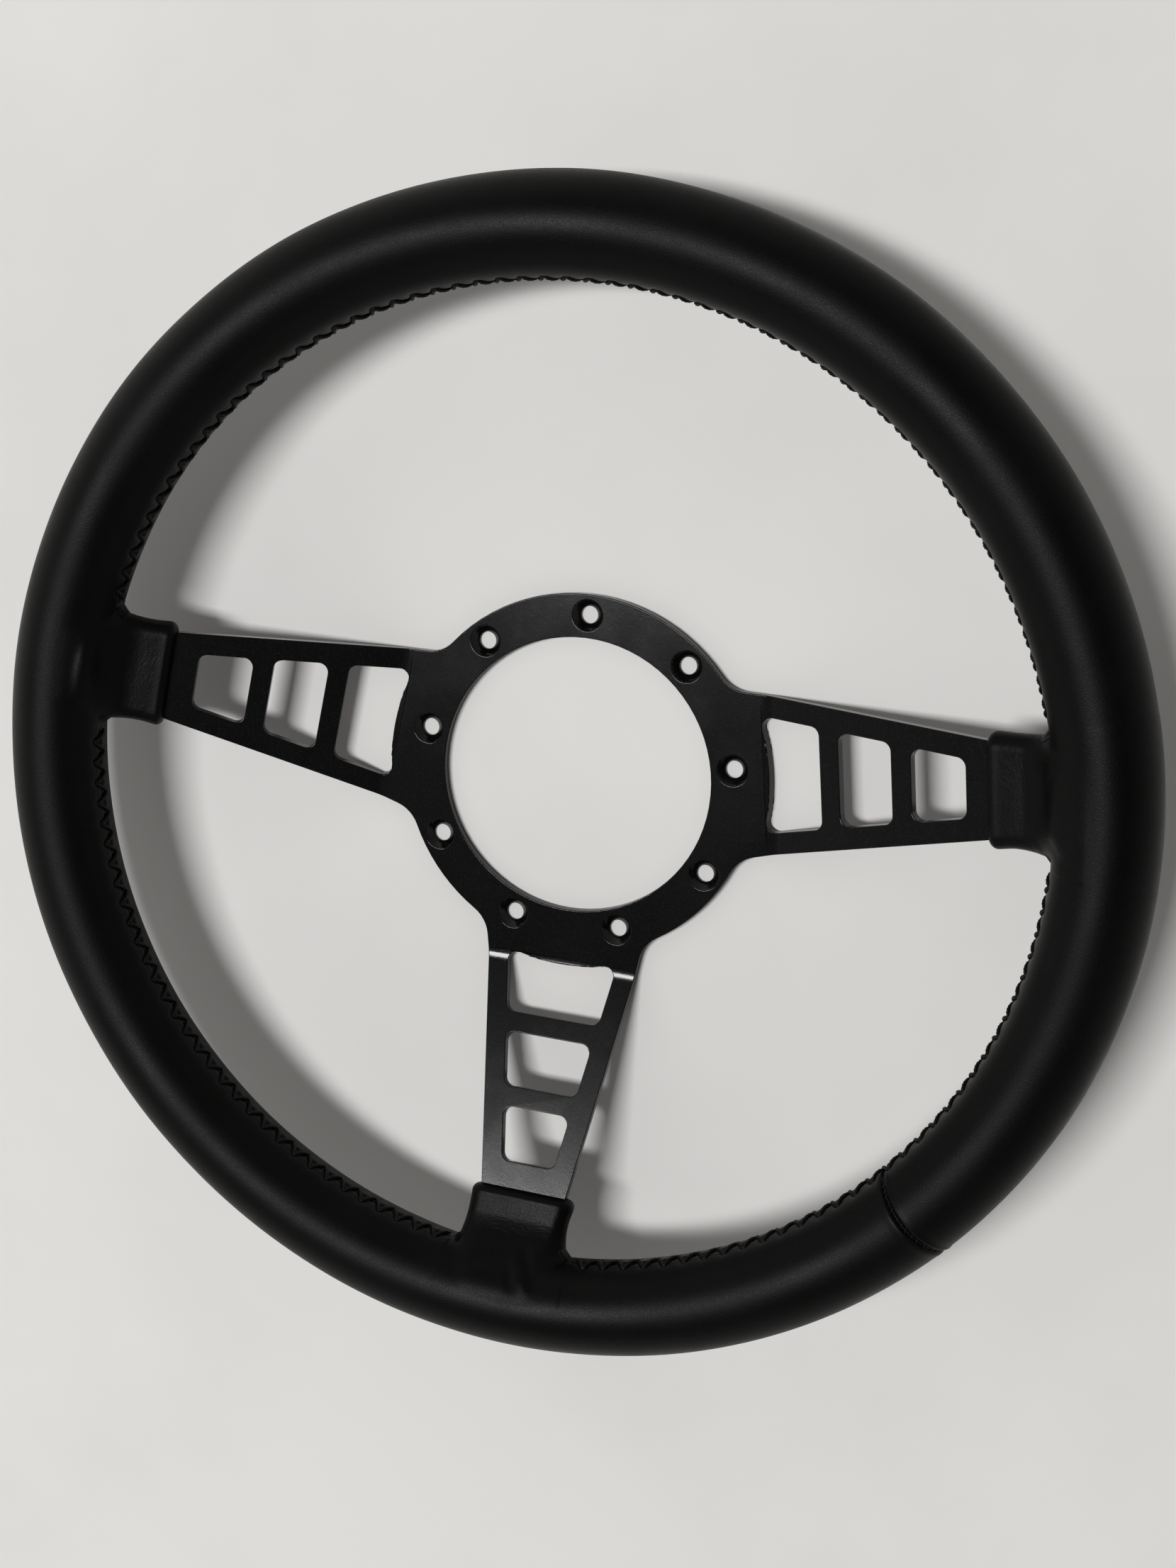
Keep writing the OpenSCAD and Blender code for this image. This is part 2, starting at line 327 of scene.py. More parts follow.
def strands(paths: Array, ups: Array, radius: float, sides: int = 8, ply_pitch: float = 0.0,
            ply_depth: float = 0.0) -> tuple[Array, list[list[int]]]:
    """Closed tubes along several paths, each with a twisted section where a ply pitch is given.

    A ring's corner lies at path + r * (cos(t) * side + sin(t) * out), where side and out are square to the
    path and out leans to the given up direction. The radius r is radius * (1 + depth * cos(2 * (t - twist))),
    and twist grows by half a turn over the ply pitch, which gives two lobes that wind round each other.

    Args:
        paths: Points of each path, of shape (tubes, stations, 3).
        ups: Direction to lean to at each point, of the same shape.
        radius: Radius of the tube.
        sides: Corners of a ring.
        ply_pitch: Length after which the two plies have changed places, or 0 for a plain tube.
        ply_depth: Depth of the groove between the plies, as a share of the radius.

    Returns:
        The corners and the faces.
    """
    tubes, stations, _ = paths.shape
    along = unit(np.gradient(paths, axis=1))
    side = unit(np.cross(along, ups))
    out = np.cross(side, along)
    steps = np.linalg.norm(np.diff(paths, axis=1), axis=-1)
    length = np.concatenate([np.zeros((tubes, 1)), np.cumsum(steps, axis=1)], axis=1)
    turn = np.arange(sides) * math.tau / sides
    r = np.full((tubes, stations, sides), radius)
    if ply_pitch:
        r = radius * (1 + ply_depth * np.cos(2 * (turn - math.pi * length[..., None] / ply_pitch)))
    ring = np.cos(turn)[:, None] * side[:, :, None, :] + np.sin(turn)[:, None] * out[:, :, None, :]
    points = paths[:, :, None, :] + r[..., None] * ring
    number = np.arange(tubes * stations * sides).reshape(tubes, stations, sides)
    after = np.roll(number, -1, axis=2)
    quads = np.stack([number[:, :-1], number[:, 1:], after[:, 1:], after[:, :-1]], -1).reshape(-1, 4)
    caps = np.concatenate([number[:, 0], number[:, -1, ::-1]])
    return points.reshape(-1, 3), quads.tolist() + caps.tolist()


@dataclass(frozen=True)
class Fold:
    """A spindle-shaped fold in an ear's front, in the ear's own coordinates.

    Its depth is depth * bell(along / half_length) * bell(across / half_width), and a ridge has a negative
    depth.
    """

    past_hem: float
    across: float
    half_length: float
    half_width: float
    depth: float
    turn: float = 90.0

    def value(self, x: Array, y: Array) -> Array:
        """Depth of the fold at distance x past the hem and y across the ear."""
        c, s = math.cos(math.radians(self.turn)), math.sin(math.radians(self.turn))
        dx, dy = x - self.past_hem, y - self.across
        return self.depth * bell(dx * c + dy * s, self.half_length) * bell(dy * c - dx * s, self.half_width)


WAIST_ZONE = (1.5, 8.0)
ROOT_ZONE = (9.0, 19.0)
DRIFT_ZONE = (3.0, 22.0)
FOLD_ZONE = (3.0, 7.0, 27.0, 33.0)


@dataclass(frozen=True)
class EarShape:
    """How one ear departs from the even form, in millimetres.

    An ear's own coordinates are x past its hem, y across it from its middle line and z out of the face of
    its spoke. The zones above are ranges of x: where the waist forms, where the root widens, where the
    middle line drifts, and where the folds come in and fade out.
    """

    hem_shift: float
    drift: float
    lean: float
    rise_start: float
    folds: tuple[Fold, ...]

    def middle(self, past: Array) -> Array:
        """Place of the ear's middle line across the spoke: a drift towards the rim and a lean at the waist."""
        return self.drift * smooth_step(past, *DRIFT_ZONE) + self.lean * zone(past, *WAIST_ZONE, *ROOT_ZONE)


EARS = {
    Side.LEFT: EarShape(0.2, 0.4, 0.0, 10.0, (
        Fold(20.0, 0.5, 9, 1.6, 0.6), Fold(24.2, 0.0, 8.5, 2.5, -1.7), Fold(14.5, 2.5, 9, 2.2, 0.25),
        Fold(10.0, -3.0, 9, 2.4, 0.1))),
    Side.BOTTOM: EarShape(0.6, -1.1, -0.4, 8.0, (
        Fold(21.5, 9.5, 5.5, 1.3, 0.55, 35), Fold(24.0, 7.5, 5.5, 1.6, -0.55, 35),
        Fold(26.0, 4.5, 4.5, 1.2, 0.4, 25),
        Fold(17.0, -2.0, 11, 2.8, 0.3), Fold(8.5, 1.0, 13, 2.2, 0.2), Fold(23.5, -9.0, 6, 1.8, 0.3, 115))),
    Side.RIGHT: EarShape(-0.7, -0.6, 0.2, 11.0, (
        Fold(18.5, -1.0, 12, 2.4, 0.45), Fold(24.0, 0.0, 9, 2.8, -0.4), Fold(12.0, 0.0, 12, 2.0, 0.2),
        Fold(22.0, -12.0, 5, 1.8, 0.2, 135), Fold(23.0, 8.0, 6, 1.6, 0.3, 70))),
}


@dataclass
class LeatherRim:
    """The hide round the rim: a grip with a laced valley and a cross seam, and an ear over each spoke.

    The surface is where skin_distance is 0. That distance is a smooth union of the grip, a ring of round
    section with a relief, and the ear, a flat tongue with round sides and a rolled hem.
    """

    sizes: WheelSizes
    spans: dict[str, LaceSpan]
    ear_w: float = 34.0
    ear_t: float = 9.2
    waist: float = 0.45
    root_rise: float = 4.6
    corner_round: float = 5.0
    hem_round: float = 2.5
    corner_angle: float = math.radians(75)
    side_blend: float = 2.6
    front_blend: float = 8.0
    straight_len: float = 10.0
    samples_per_step: int = 4
    close_rows: int = 33
    close_half: float = math.radians(1.3)
    close_gap: float = 0.002
    pull_half: float = math.radians(5)
    ear_cells: int = 40
    seam_cells: int = 18
    seam_zone: float = math.radians(15.73)
    front_cells: int = 36
    back_cells: int = 10
    ear_front_cells: int = 8
    ear_back_cells: int = 2
    blend_rings: int = 30
    straight_rings: int = 12
    hem_rings: int = 8
    root_widening: float = 0.7
    crest_at: float = 27.0
    hem_lip: float = 0.3
    hem_lip_at: float = 1.8
    hem_hollow: float = 0.1
    valley_depth: float = 0.3
    valley_half: float = 3.4
    notch_depth: float = 0.45
    notch_half: float = 0.5
    lip_height: float = 0.28
    lip_at: float = 1.7
    lip_half: float = 1.35
    pinch_depth: float = 0.32
    pinch_half: tuple[float, float] = (1.05, 0.95)
    dent_depth: float = 0.1
    dent_half: float = 1.0
    lace_fade: tuple[float, float] = (-1.0, 1.5)
    groove_depth: float = 1.12
    groove_half: float = 0.78
    groove_bow: tuple[float, float, float] = (0.5, 0.7, 0.45)
    crisp_lip: tuple[float, float, float] = (0.22, 1.6, 0.8)
    soft_lip: tuple[float, float, float] = (0.12, -1.9, 1.2)
    back_seam_depth: float = 0.6
    back_seam_half: float = 0.8
    unevenness: float = 0.13
    front_up: tuple[float, float] = (1.0, 7.0)
    front_across: tuple[float, float] = (9.0, 17.0)
    fold_up: tuple[float, float] = (0.5, 3.5)
    back_seam_up: tuple[float, float] = (1.5, 3.5)
    back_seam_end: tuple[float, float] = (15.0, 19.0)
    fade_gap: tuple[float, float] = (0.76, 0.99)
    fade_turn: tuple[float, float, float, float] = (108.5, 125.0, 240.0, 254.5)
    turned_in_past: tuple[float, ...] = (0.15, 0.5, 2.5, 2.5)
    turned_in: tuple[float, ...] = (-0.35, -0.05, 0.15)
    cap_gap: float = 0.06

    def seam_angle(self, b: Array) -> Array:
        """Angle of the seam across the rim: its bow in degrees is even, then grows in front and outside."""
        even, front, outside = self.groove_bow
        bow = even + front * np.sin(b) ** 2 + outside * np.maximum(np.cos(b), 0) ** 2
        return np.radians(self.sizes.cross_seam - bow)

    def lace_relief(self, a: Array, b: Array) -> Array:
        """Height of the leather along the lacing: a valley with a notch at the seam, lips that swell between
        the needle holes, pinches at the holes and dents under the thread.

        Args:
            a: Angles round the wheel.
            b: Angles round the grip.

        Returns:
            Height above the plain grip in millimetres.
        """
        w = (np.mod(b, math.tau) - math.pi) * self.sizes.grip_r
        half_w = self.sizes.stitch_half_w
        relief = np.zeros_like(w)
        for span in self.spans.values():
            local = span.start + wrapped(a - span.start)
            local = np.where(local < span.start - 0.5, local + math.tau, local)
            edge = np.minimum(local - span.start, span.end - local) * self.sizes.inner_r
            inside = smooth_step(edge, *self.lace_fade)
            t = span.hole_number(local)
            step = span.step * self.sizes.inner_r
            back = np.abs(t - 2 * np.round(t / 2)) * step
            front = np.abs(t - 1 - 2 * np.round((t - 1) / 2)) * step
            along = np.where(w > 0, back, front)
            pinch = bell(along, self.pinch_half[0]) * bell(np.abs(w) - half_w, self.pinch_half[1])
            swell = np.sin(np.pi / 2 * np.clip(along / step, 0, 1)) ** 2
            lip = bell(np.abs(w) - self.lip_at, self.lip_half) * swell
            under = bell(w - half_w * zigzag(t), self.dent_half) * (np.abs(w) < half_w)
            valley = np.exp(-((w / self.valley_half) ** 4))
            relief += inside * (self.lip_height * lip - self.pinch_depth * pinch
                                - self.notch_depth * bell(w, self.notch_half)
                                - self.valley_depth * valley - self.dent_depth * under)
        return relief

    def cross_relief(self, a: Array, b: Array) -> Array:
        """Height of the leather at the seam across the rim: a steep groove between a crisp and a soft lip.

        Each lip has a height, a place across the seam and a half width.
        """
        x = wrapped(a - self.seam_angle(b)) * (self.sizes.rim_r + self.sizes.grip_r * np.cos(b))
        lips = sum(height * bell(x - place, half) for height, place, half in (self.crisp_lip, self.soft_lip))
        return lips - self.groove_depth * np.exp(-(np.abs(x / self.groove_half) ** 3))

    def relief(self, a: Array, b: Array) -> Array:
        """Height of the leather over the plain grip, in millimetres."""
        hand = ripples(a * self.sizes.rim_r, b * self.sizes.grip_r, 60.0, seed=4)
        return self.lace_relief(a, b) + self.cross_relief(a, b) + self.unevenness * (hand - 1) / 2

    def to_ear(self, points: Array, side: Side) -> Array:
        """Turns wheel coordinates into an ear's own."""
        q = self.sizes.to_spoke(points, self.sizes.spoke_angle(side))
        past = q[..., 0] - self.sizes.hem_s - EARS[side].hem_shift
        return np.stack([past, q[..., 1] - EARS[side].middle(past), q[..., 2]], -1)

    def from_ear(self, points: Array, side: Side) -> Array:
        """Turns an ear's own coordinates back into the wheel's."""
        x = points[..., 0] + self.sizes.hem_s + EARS[side].hem_shift
        y = points[..., 1] + EARS[side].middle(points[..., 0])
        return self.sizes.from_spoke(np.stack([x, y, points[..., 2]], -1), self.sizes.spoke_angle(side))

    def half_width(self, past: Array) -> Array:
        """Half of an ear's width: widest at the hem's lip, with a slight waist behind it."""
        widening = self.root_widening * smooth_step(past, *ROOT_ZONE)
        return self.ear_w / 2 - self.waist * smooth_step(past, *WAIST_ZONE) + widening

    def half_thickness(self, past: Array, side: Side) -> Array:
        """Half of an ear's thickness: a lip at the hem, a hollow behind it and a rise to the grip's crest."""
        rise = self.root_rise * smooth_step(past, EARS[side].rise_start, self.crest_at)
        lip = self.hem_lip * bell(past - self.hem_lip_at, self.hem_lip_at)
        return self.ear_t / 2 + lip - self.hem_hollow + rise

    def ear_distance(self, q: Array, side: Side) -> Array:
        """Distance from an ear: a tongue of half width h and half thickness t whose end is rounded by r.

        The flank's distance is that of a box with corners rounded by c, and the end's is the hem minus x. They
        are joined by rounded_corner(flank + r, end + r) - r.

        Args:
            q: Points in the ear's own coordinates.
            side: The ear.

        Returns:
            Distances in millimetres, negative inside.
        """
        t = self.half_thickness(q[..., 0], side)
        h = self.half_width(q[..., 0])
        c = np.minimum(t, self.corner_round)
        flank = rounded_corner(np.abs(q[..., 1]) - (h - c), np.abs(q[..., 2]) - (t - c)) - c
        r = self.hem_round
        return rounded_corner(flank + r, r - q[..., 0]) - r

    def skin_distance(self, points: Array, side: Side) -> Array:
        """Distance from the leather near one ear: the smooth union of grip and ear, plus the ear's folds.

        The union is min(g, e) - k * h * h / 4 with h = max(k - |g - e|, 0) / k. The blend k is wide on the
        front of the ear and narrow at its sides.

        Args:
            points: Points in wheel coordinates.
            side: The ear.

        Returns:
            Distances in millimetres, negative inside.
        """
        sizes = self.sizes
        a = np.arctan2(points[..., 1], points[..., 0])
        dr = np.hypot(points[..., 0], points[..., 1]) - sizes.rim_r
        dz = points[..., 2] - sizes.rim_z
        b = np.arctan2(dz, dr)
        grip = np.hypot(dr, dz) - sizes.grip_r - self.relief(a, b)
        q = self.to_ear(points, side)
        ear = self.ear_distance(q, side)
        past, up = q[..., 0], q[..., 2]
        front = smooth_step(up, *self.front_up) * (1 - smooth_step(np.abs(q[..., 1]), *self.front_across))
        k = self.side_blend + (self.front_blend - self.side_blend) * front
        h = np.maximum(k - np.abs(grip - ear), 0) / k
        fold = sum(f.value(past, q[..., 1]) for f in EARS[side].folds)
        shown = smooth_step(up, *self.fold_up) * zone(past, *FOLD_ZONE)
        back = smooth_step(-up, *self.back_seam_up) * (1 - smooth_step(past, *self.back_seam_end))
        back_seam = self.back_seam_depth * bell(q[..., 1], self.back_seam_half) * back
        fade = self.border_fade(a - sizes.spoke_angle(side), b)
        return np.minimum(grip, ear) + fade * (fold * shown - k * h * h / 4) + back_seam

    def border_fade(self, a: Array, b: Array) -> Array:
        """Share of the ear's own shape, which falls to 0 towards the border of its opening in the grid."""
        gap = np.abs(wrapped(a)) / self.sizes.ear_half_angle
        turn = np.degrees(np.mod(b, math.tau))
        return (1 - smooth_step(gap, *self.fade_gap)) * zone(turn, *self.fade_turn)

    def settle(self, points: Array, side: Side, rounds: int = 7) -> tuple[Array, Array]:
        """Moves points onto the leather by Newton steps along the slope of skin_distance.

        Args:
            points: Points in wheel coordinates, a few millimetres from the leather.
            side: The ear that they belong to.
            rounds: Number of steps.

        Returns:
            The moved points and the leather's outward directions there.
        """
        reach, flattest, longest = 0.05, 0.2, 2.5
        slope = np.zeros_like(points)
        for _ in range(rounds):
            value = self.skin_distance(points, side)
            for axis, e in enumerate(np.eye(3) * reach):
                rise = self.skin_distance(points + e, side) - self.skin_distance(points - e, side)
                slope[..., axis] = rise / (2 * reach)
            size = np.maximum((slope**2).sum(-1), flattest)
            points = points - np.clip(value / size, -longest, longest)[..., None] * slope
        return points, unit(slope)

    def stations(self) -> tuple[Array, dict[Side, tuple[int, int]]]:
        """Angles of the grid's rows round the wheel, four to each leg of lacing and closer at the cross seam.

        Returns:
            The angles from the right ear's end onwards, and each ear's first and last row.
        """
        parts: list[Array] = []
        rows: dict[Side, tuple[int, int]] = {}
        count = 0
        half = self.sizes.ear_half_angle
        order = (("lace_top", Side.LEFT), ("lace_left", Side.BOTTOM), ("lace_right", Side.RIGHT))
        for name, side in order:
            span = self.spans[name]
            run = np.linspace(span.start, span.end, (span.legs + 1) * self.samples_per_step, endpoint=False)
            seam = math.radians(self.sizes.cross_seam) + math.tau
            if span.start < seam < span.end:
                close = seam + np.linspace(-1.0, 1.0, self.close_rows) * self.close_half
                before, after = run < close[0] - self.close_gap, run > close[-1] + self.close_gap
                run = np.concatenate([run[before], close, run[after]])
            middle = span.end + half
            ear = np.linspace(middle - half, middle + half, self.ear_cells, endpoint=False)
            rows[side] = (count + len(run), count + len(run) + self.ear_cells)
            parts += [run, ear]
            count += len(run) + self.ear_cells
        return np.concatenate(parts), rows

    def section_angles(self) -> tuple[Array, tuple[int, int]]:
        """Angles of the grid's columns round the grip, close together at the lacing.

        Returns:
            The angles from -90 degrees onwards, and the columns between which an ear leaves the grip.
        """
        low, high = math.pi - self.seam_zone, math.pi + self.seam_zone
        front = np.linspace(-math.pi / 2, low, self.front_cells, endpoint=False)
        seam = np.linspace(low, high, self.seam_cells, endpoint=False)
        back = np.linspace(high, 1.5 * math.pi, self.back_cells, endpoint=False)
        first = self.front_cells - self.ear_front_cells
        last = self.front_cells + self.seam_cells + self.back_cells - self.ear_back_cells
        return np.concatenate([front, seam, back]), (first, last)

    def section(self, side: Side, past: Array, inset: Array, cells: tuple[int, int]) -> Array:
        """Rings of an ear in its own coordinates, with as many corners as the border on the rim has.

        A ring runs over the front, down one round side, over the back and up the other side. On the front
        and back y is spaced evenly, and on the sides the angle is.

        Args:
            side: The ear.
            past: Distance past the hem of each ring.
            inset: How far each ring is drawn in from the ear's surface.
            cells: Number of cells along the front and along a side.

        Returns:
            Points of shape (rings, corners, 3).
        """
        t = (self.half_thickness(past, side) - inset)[:, None]
        h = (self.half_width(past) - inset)[:, None]
        flat = h - t
        edge = flat + t * math.cos(self.corner_angle)
        y_front = edge * np.linspace(-1, 1, cells[0], endpoint=False)
        bulge = np.maximum(np.abs(y_front) - flat, 0)
        z_front = np.sqrt(np.maximum(t * t - bulge * bulge, 0))
        turn = np.linspace(self.corner_angle, -self.corner_angle, cells[1], endpoint=False)
        y_side, z_side = flat + t * np.cos(turn), t * np.sin(turn)
        y = np.concatenate([y_front, y_side, -y_front, -y_side], axis=1)
        z = np.concatenate([z_front, z_side, -z_front, -z_side], axis=1)
        return np.stack([np.broadcast_to(past[:, None], y.shape), y, z], -1)

    def hem_profile(self, side: Side) -> tuple[Array, Array]:
        """Ring places round the rolled hem: a quarter circle, then a small lip turned in against the plate.

        Args:
            side: The ear.

        Returns:
            Distance past the hem and inset of each ring.
        """
        turn = np.linspace(0, math.pi / 2, self.hem_rings + 1)[1:]
        past = self.hem_round * (1 - np.sin(turn))
        inset = self.hem_round * (1 - np.cos(turn))
        lip_t = self.half_thickness(np.zeros(1), side)[0]
        last = lip_t - self.sizes.plate_t / 2
        inset_in = np.append(last + np.array(self.turned_in), lip_t - self.cap_gap)
        return np.concatenate([past, self.turned_in_past]), np.concatenate([inset, inset_in])

    def ear(self, side: Side, border: Array, cells: tuple[int, int]) -> Array:
        """Rings of one ear, from just inside its border on the rim to its closed inner end.

        Args:
            side: The ear.
            border: The border's corners on the rim, in wheel coordinates.
            cells: Cells along the front and along a side of the border.

        Returns:
            Points in wheel coordinates, of shape (rings, corners, 3).
        """
        root = self.from_ear(self.section(side, np.array([self.straight_len]), np.zeros(1), cells)[0], side)
        share = np.linspace(0, 1, self.blend_rings + 2)[1:-1, None, None]
        blend = (1 - share) * border + share * root
        past = np.linspace(self.straight_len, self.hem_round, self.straight_rings)
        straight = self.from_ear(self.section(side, past, np.zeros_like(past), cells), side)
        settled, _ = self.settle(np.concatenate([blend, straight]), side)
        hem = self.from_ear(self.section(side, *self.hem_profile(side), cells), side)
        return np.concatenate([settled, hem])

    def surface(self) -> tuple[Array, list[list[int]]]:
        """The whole skin: the grip's grid with three openings, and an ear grown out of each.

        Returns:
            The corners in millimetres and the faces.
        """
        rows, ears = self.stations()
        columns, (c0, c1) = self.section_angles()
        a, b = np.meshgrid(rows, columns, indexing="ij")
        seam = math.radians(self.sizes.cross_seam)
        a = a + bell(wrapped(a - seam), self.pull_half) * (self.seam_angle(b) - seam)
        points = [self.sizes.on_grip(a, b, self.sizes.grip_r + self.relief(a, b)).reshape(-1, 3)]
        number = np.arange(a.size).reshape(a.shape)
        down, right = np.roll(number, -1, axis=0), np.roll(number, -1, axis=1)
        quads = np.stack([number, down, np.roll(down, -1, axis=1), right], -1)
        keep = np.ones(a.shape, bool)
        walls: list[Array] = []
        corners: list[Array] = []
        total = a.size
        for side, (r0, r1) in ears.items():
            keep[r0:r1, c0:c1] = False
            last = r1 % len(rows)
            far = np.append(number[last, c1], number[r1 - 1:r0:-1, c1])
            border = np.concatenate([number[r0:r1, c0], number[last, c0:c1], far, number[r0, c1:c0:-1]])
            cells = (r1 - r0, c1 - c0)
            rings = self.ear(side, points[0][border], cells)
            ring_number = total + np.arange(rings.shape[0] * rings.shape[1]).reshape(rings.shape[:2])
            loops = np.concatenate([border[None], ring_number])
            ahead = np.roll(loops, -1, axis=1)
            walls.append(np.stack([loops[:-1], ahead[:-1], ahead[1:], loops[1:]], -1).reshape(-1, 4))
            strip, ends = self.end_cap(loops[-1], cells)
            walls.append(strip)
            corners.append(ends)
            points.append(rings.reshape(-1, 3))
            total += ring_number.size
        fours, threes = np.concatenate([quads[keep], *walls]), np.concatenate(corners)
        used = np.unique(np.concatenate([fours.ravel(), threes.ravel()]))
        new_number = np.zeros(total, int)
        new_number[used] = np.arange(len(used))
        return np.concatenate(points)[used], new_number[fours].tolist() + new_number[threes].tolist()

    @staticmethod
    def end_cap(ring: Array, cells: tuple[int, int]) -> tuple[Array, Array]:
        """Closes the last ring of an ear by a strip from each front corner to the back corner behind it.

        Corner i of the front lies before corner 2 * front cells + side cells - i of the back, and the strip
        ends in a triangle at the middle of each side.

        Args:
            ring: Numbers of the ring's corners.
            cells: Cells along the front and along a side, which are even.

        Returns:
            The faces with four corners and those with three.
        """
        half = cells[1] // 2
        mirror = 2 * cells[0] + cells[1]
        i = np.arange(1 - half, cells[0] + half - 1)
        strip = np.stack([i, i + 1, mirror - i - 1, mirror - i], -1)
        far = cells[0] + half
        ends = np.array([[-half, 1 - half, -1 - half], [far - 1, far, far + 1]])
        return ring[strip % len(ring)], ring[ends % len(ring)]

    def build(self, material: bpy.types.Material) -> bpy.types.Object:
        """Makes the leather and stores each corner's place on its nearest spoke for the wrinkles.

        Args:
            material: The leather's finish.

        Returns:
            The piece.
        """
        points, faces = self.surface()
        piece = make_piece("leather_rim", points, faces, material, ("leather_cover",))
        angles = np.array([self.sizes.spoke_angle(side) for side in Side])
        gap = np.arctan2(points[:, 1], points[:, 0])[:, None] - angles
        nearest = np.argmin(np.abs(wrapped(gap)), axis=1)
        place = np.zeros_like(points)
        for i, angle in enumerate(angles):
            mine = nearest == i
            place[mine] = self.sizes.to_spoke(points[mine], angle)
        place[:, 0] -= self.sizes.hem_s
        add_vectors(piece, "ear_place", place)
        return piece


@dataclass
class Lacing:
    """The thread that laces the leather's edges together along the inside of the rim."""

    sizes: WheelSizes
    spans: dict[str, LaceSpan]
    points_per_leg: int = 14
    ride: float = 0.12
    sink: float = 0.8
    thread_r: float = 0.55
    ply_pitch: float = 1.3
    ply_depth: float = 0.13

    def path(self, span: LaceSpan) -> tuple[Array, Array]:
        """Middle line of the thread: straight legs from hole to hole that rise over the seam.

        Along a leg the angles a and b run evenly between the holes, and the height over the grip goes from
        -sink at the holes to ride halfway between.

        Args:
            span: The run of lacing.

        Returns:
            The points and the outward directions, each of shape (1, stations, 3).
        """
        t = np.linspace(0, span.legs, span.legs * self.points_per_leg + 1)
        a = span.start + (t + 0.5) * span.step
        b = math.pi + self.sizes.stitch_half_w / self.sizes.grip_r * zigzag(t)
        height = self.ride * arches(t) - self.sink * (1 - arches(t))
        return self.sizes.on_grip(a, b, self.sizes.grip_r + height)[None], self.sizes.grip_normal(a, b)[None]

    def build(self, material: bpy.types.Material) -> list[bpy.types.Object]:
        """Makes the three runs of thread.

        Args:
            material: The thread's finish.

        Returns:
            The pieces.
        """
        made = []
        for name, span in self.spans.items():
            points, faces = strands(*self.path(span), self.thread_r, 8, self.ply_pitch, self.ply_depth)
            piece_name = name.replace("lace_", "lacing_")
            made.append(make_piece(piece_name, points, faces, material, (name,)))
        return made


@dataclass
class CrossSeam:
    """Stitches of the seam across the rim: a thread down in the groove and short rungs over it."""

    sizes: WheelSizes
    rim: LeatherRim
    end_gap: float = math.radians(19)
    rung_pitch: float = 2.3
    rung_half: float = 0.75
    rung_r: float = 0.2
    rung_points: int = 9
    rung_sides: int = 6
    rung_shift: float = 0.04
    rung_lean: tuple[float, float] = (0.1, 0.7)
    rung_height: tuple[float, float] = (-0.65, -0.4)
    rung_fall: float = 0.3
    thread_r: float = 0.3
    thread_lift: float = 0.15
    thread_points: int = 400
    ply_pitch: float = 1.1
    ply_depth: float = 0.14
    seed: int = 12

    def build(self, material: bpy.types.Material) -> bpy.types.Object:
        """Makes the groove's thread and its rungs as one piece.

        A rung crosses the groove near one angle b, with a seeded shift, lean and height. Its height falls with
        the square of the distance from the seam, to end inside the leather.

        Args:
            material: The thread's finish.

        Returns:
            The piece.
        """
        sizes = self.sizes
        b = np.linspace(self.end_gap - math.pi, math.pi - self.end_gap, self.thread_points)
        a = self.rim.seam_angle(b)
        depth = sizes.grip_r - self.rim.groove_depth + self.thread_lift
        run, run_faces = strands(sizes.on_grip(a, b, depth)[None], sizes.grip_normal(a, b)[None],
                                 self.thread_r, 8, self.ply_pitch, self.ply_depth)
        rng = np.random.default_rng(self.seed)
        count = int(2 * (math.pi - self.end_gap) * sizes.grip_r / self.rung_pitch)
        shift = rng.uniform(-self.rung_shift, self.rung_shift, (count, 1))
        rung_b = np.linspace(b[0], b[-1], count)[:, None] + shift
        x = np.linspace(-self.rung_half, self.rung_half, self.rung_points)[None]
        lean = rng.uniform(*self.rung_lean, (count, 1)) * x / sizes.grip_r
        local_r = sizes.rim_r + sizes.grip_r * np.cos(rung_b)
        rung_a = self.rim.seam_angle(rung_b) + x / local_r
        across_b = rung_b + lean
        height = rng.uniform(*self.rung_height, (count, 1)) - self.rung_fall * (x / self.rung_half) ** 2
        rungs, rung_faces = strands(sizes.on_grip(rung_a, across_b, sizes.grip_r + height),
                                    sizes.grip_normal(rung_a, across_b), self.rung_r, self.rung_sides)
        faces = run_faces + [[v + len(run) for v in face] for face in rung_faces]
        return make_piece("cross_seam_stitches", np.concatenate([run, rungs]), faces, material,
                          ("cross_seam_thread",))


@dataclass
class EarStitching:
    """The thread that closes each ear down the middle of its back."""

    sizes: WheelSizes
    rim: LeatherRim
    half_w: float = 1.8
    thread_r: float = 0.5
    ride: float = 0.45
    sink: float = 0.5
    ply_pitch: float = 1.3
    ply_depth: float = 0.13
    points_per_leg: int = 12

    def build(self, material: bpy.types.Material) -> list[bpy.types.Object]:
        """Makes the three zigzag seams, settled on the leather with each end of a leg sunk into it.

        Args:
            material: The thread's finish.

        Returns:
            The pieces.
        """
        sizes = self.sizes
        first = sizes.stitch_pitch / 3
        last = sizes.reach_s - sizes.grip_r - sizes.hem_s
        legs = math.floor(2 * (last - first) / sizes.stitch_pitch)
        t = np.linspace(0, legs, legs * self.points_per_leg + 1)
        past = first + t * (last - first) / legs
        y = self.half_w * zigzag(t)
        height = self.ride * arches(t) - self.sink * (1 - arches(t))
        made = []
        for side in Side:
            z = -self.rim.half_thickness(past, side)
            on_skin, out = self.rim.settle(self.rim.from_ear(np.stack([past, y, z], -1), side), side)
            path = on_skin + height[:, None] * out
            points, faces = strands(path[None], out[None], self.thread_r, 8, self.ply_pitch, self.ply_depth)
            made.append(make_piece(f"ear_stitches_{side.value}", points, faces, material,
                                   (f"ear_thread_{side.value}",)))
        return made


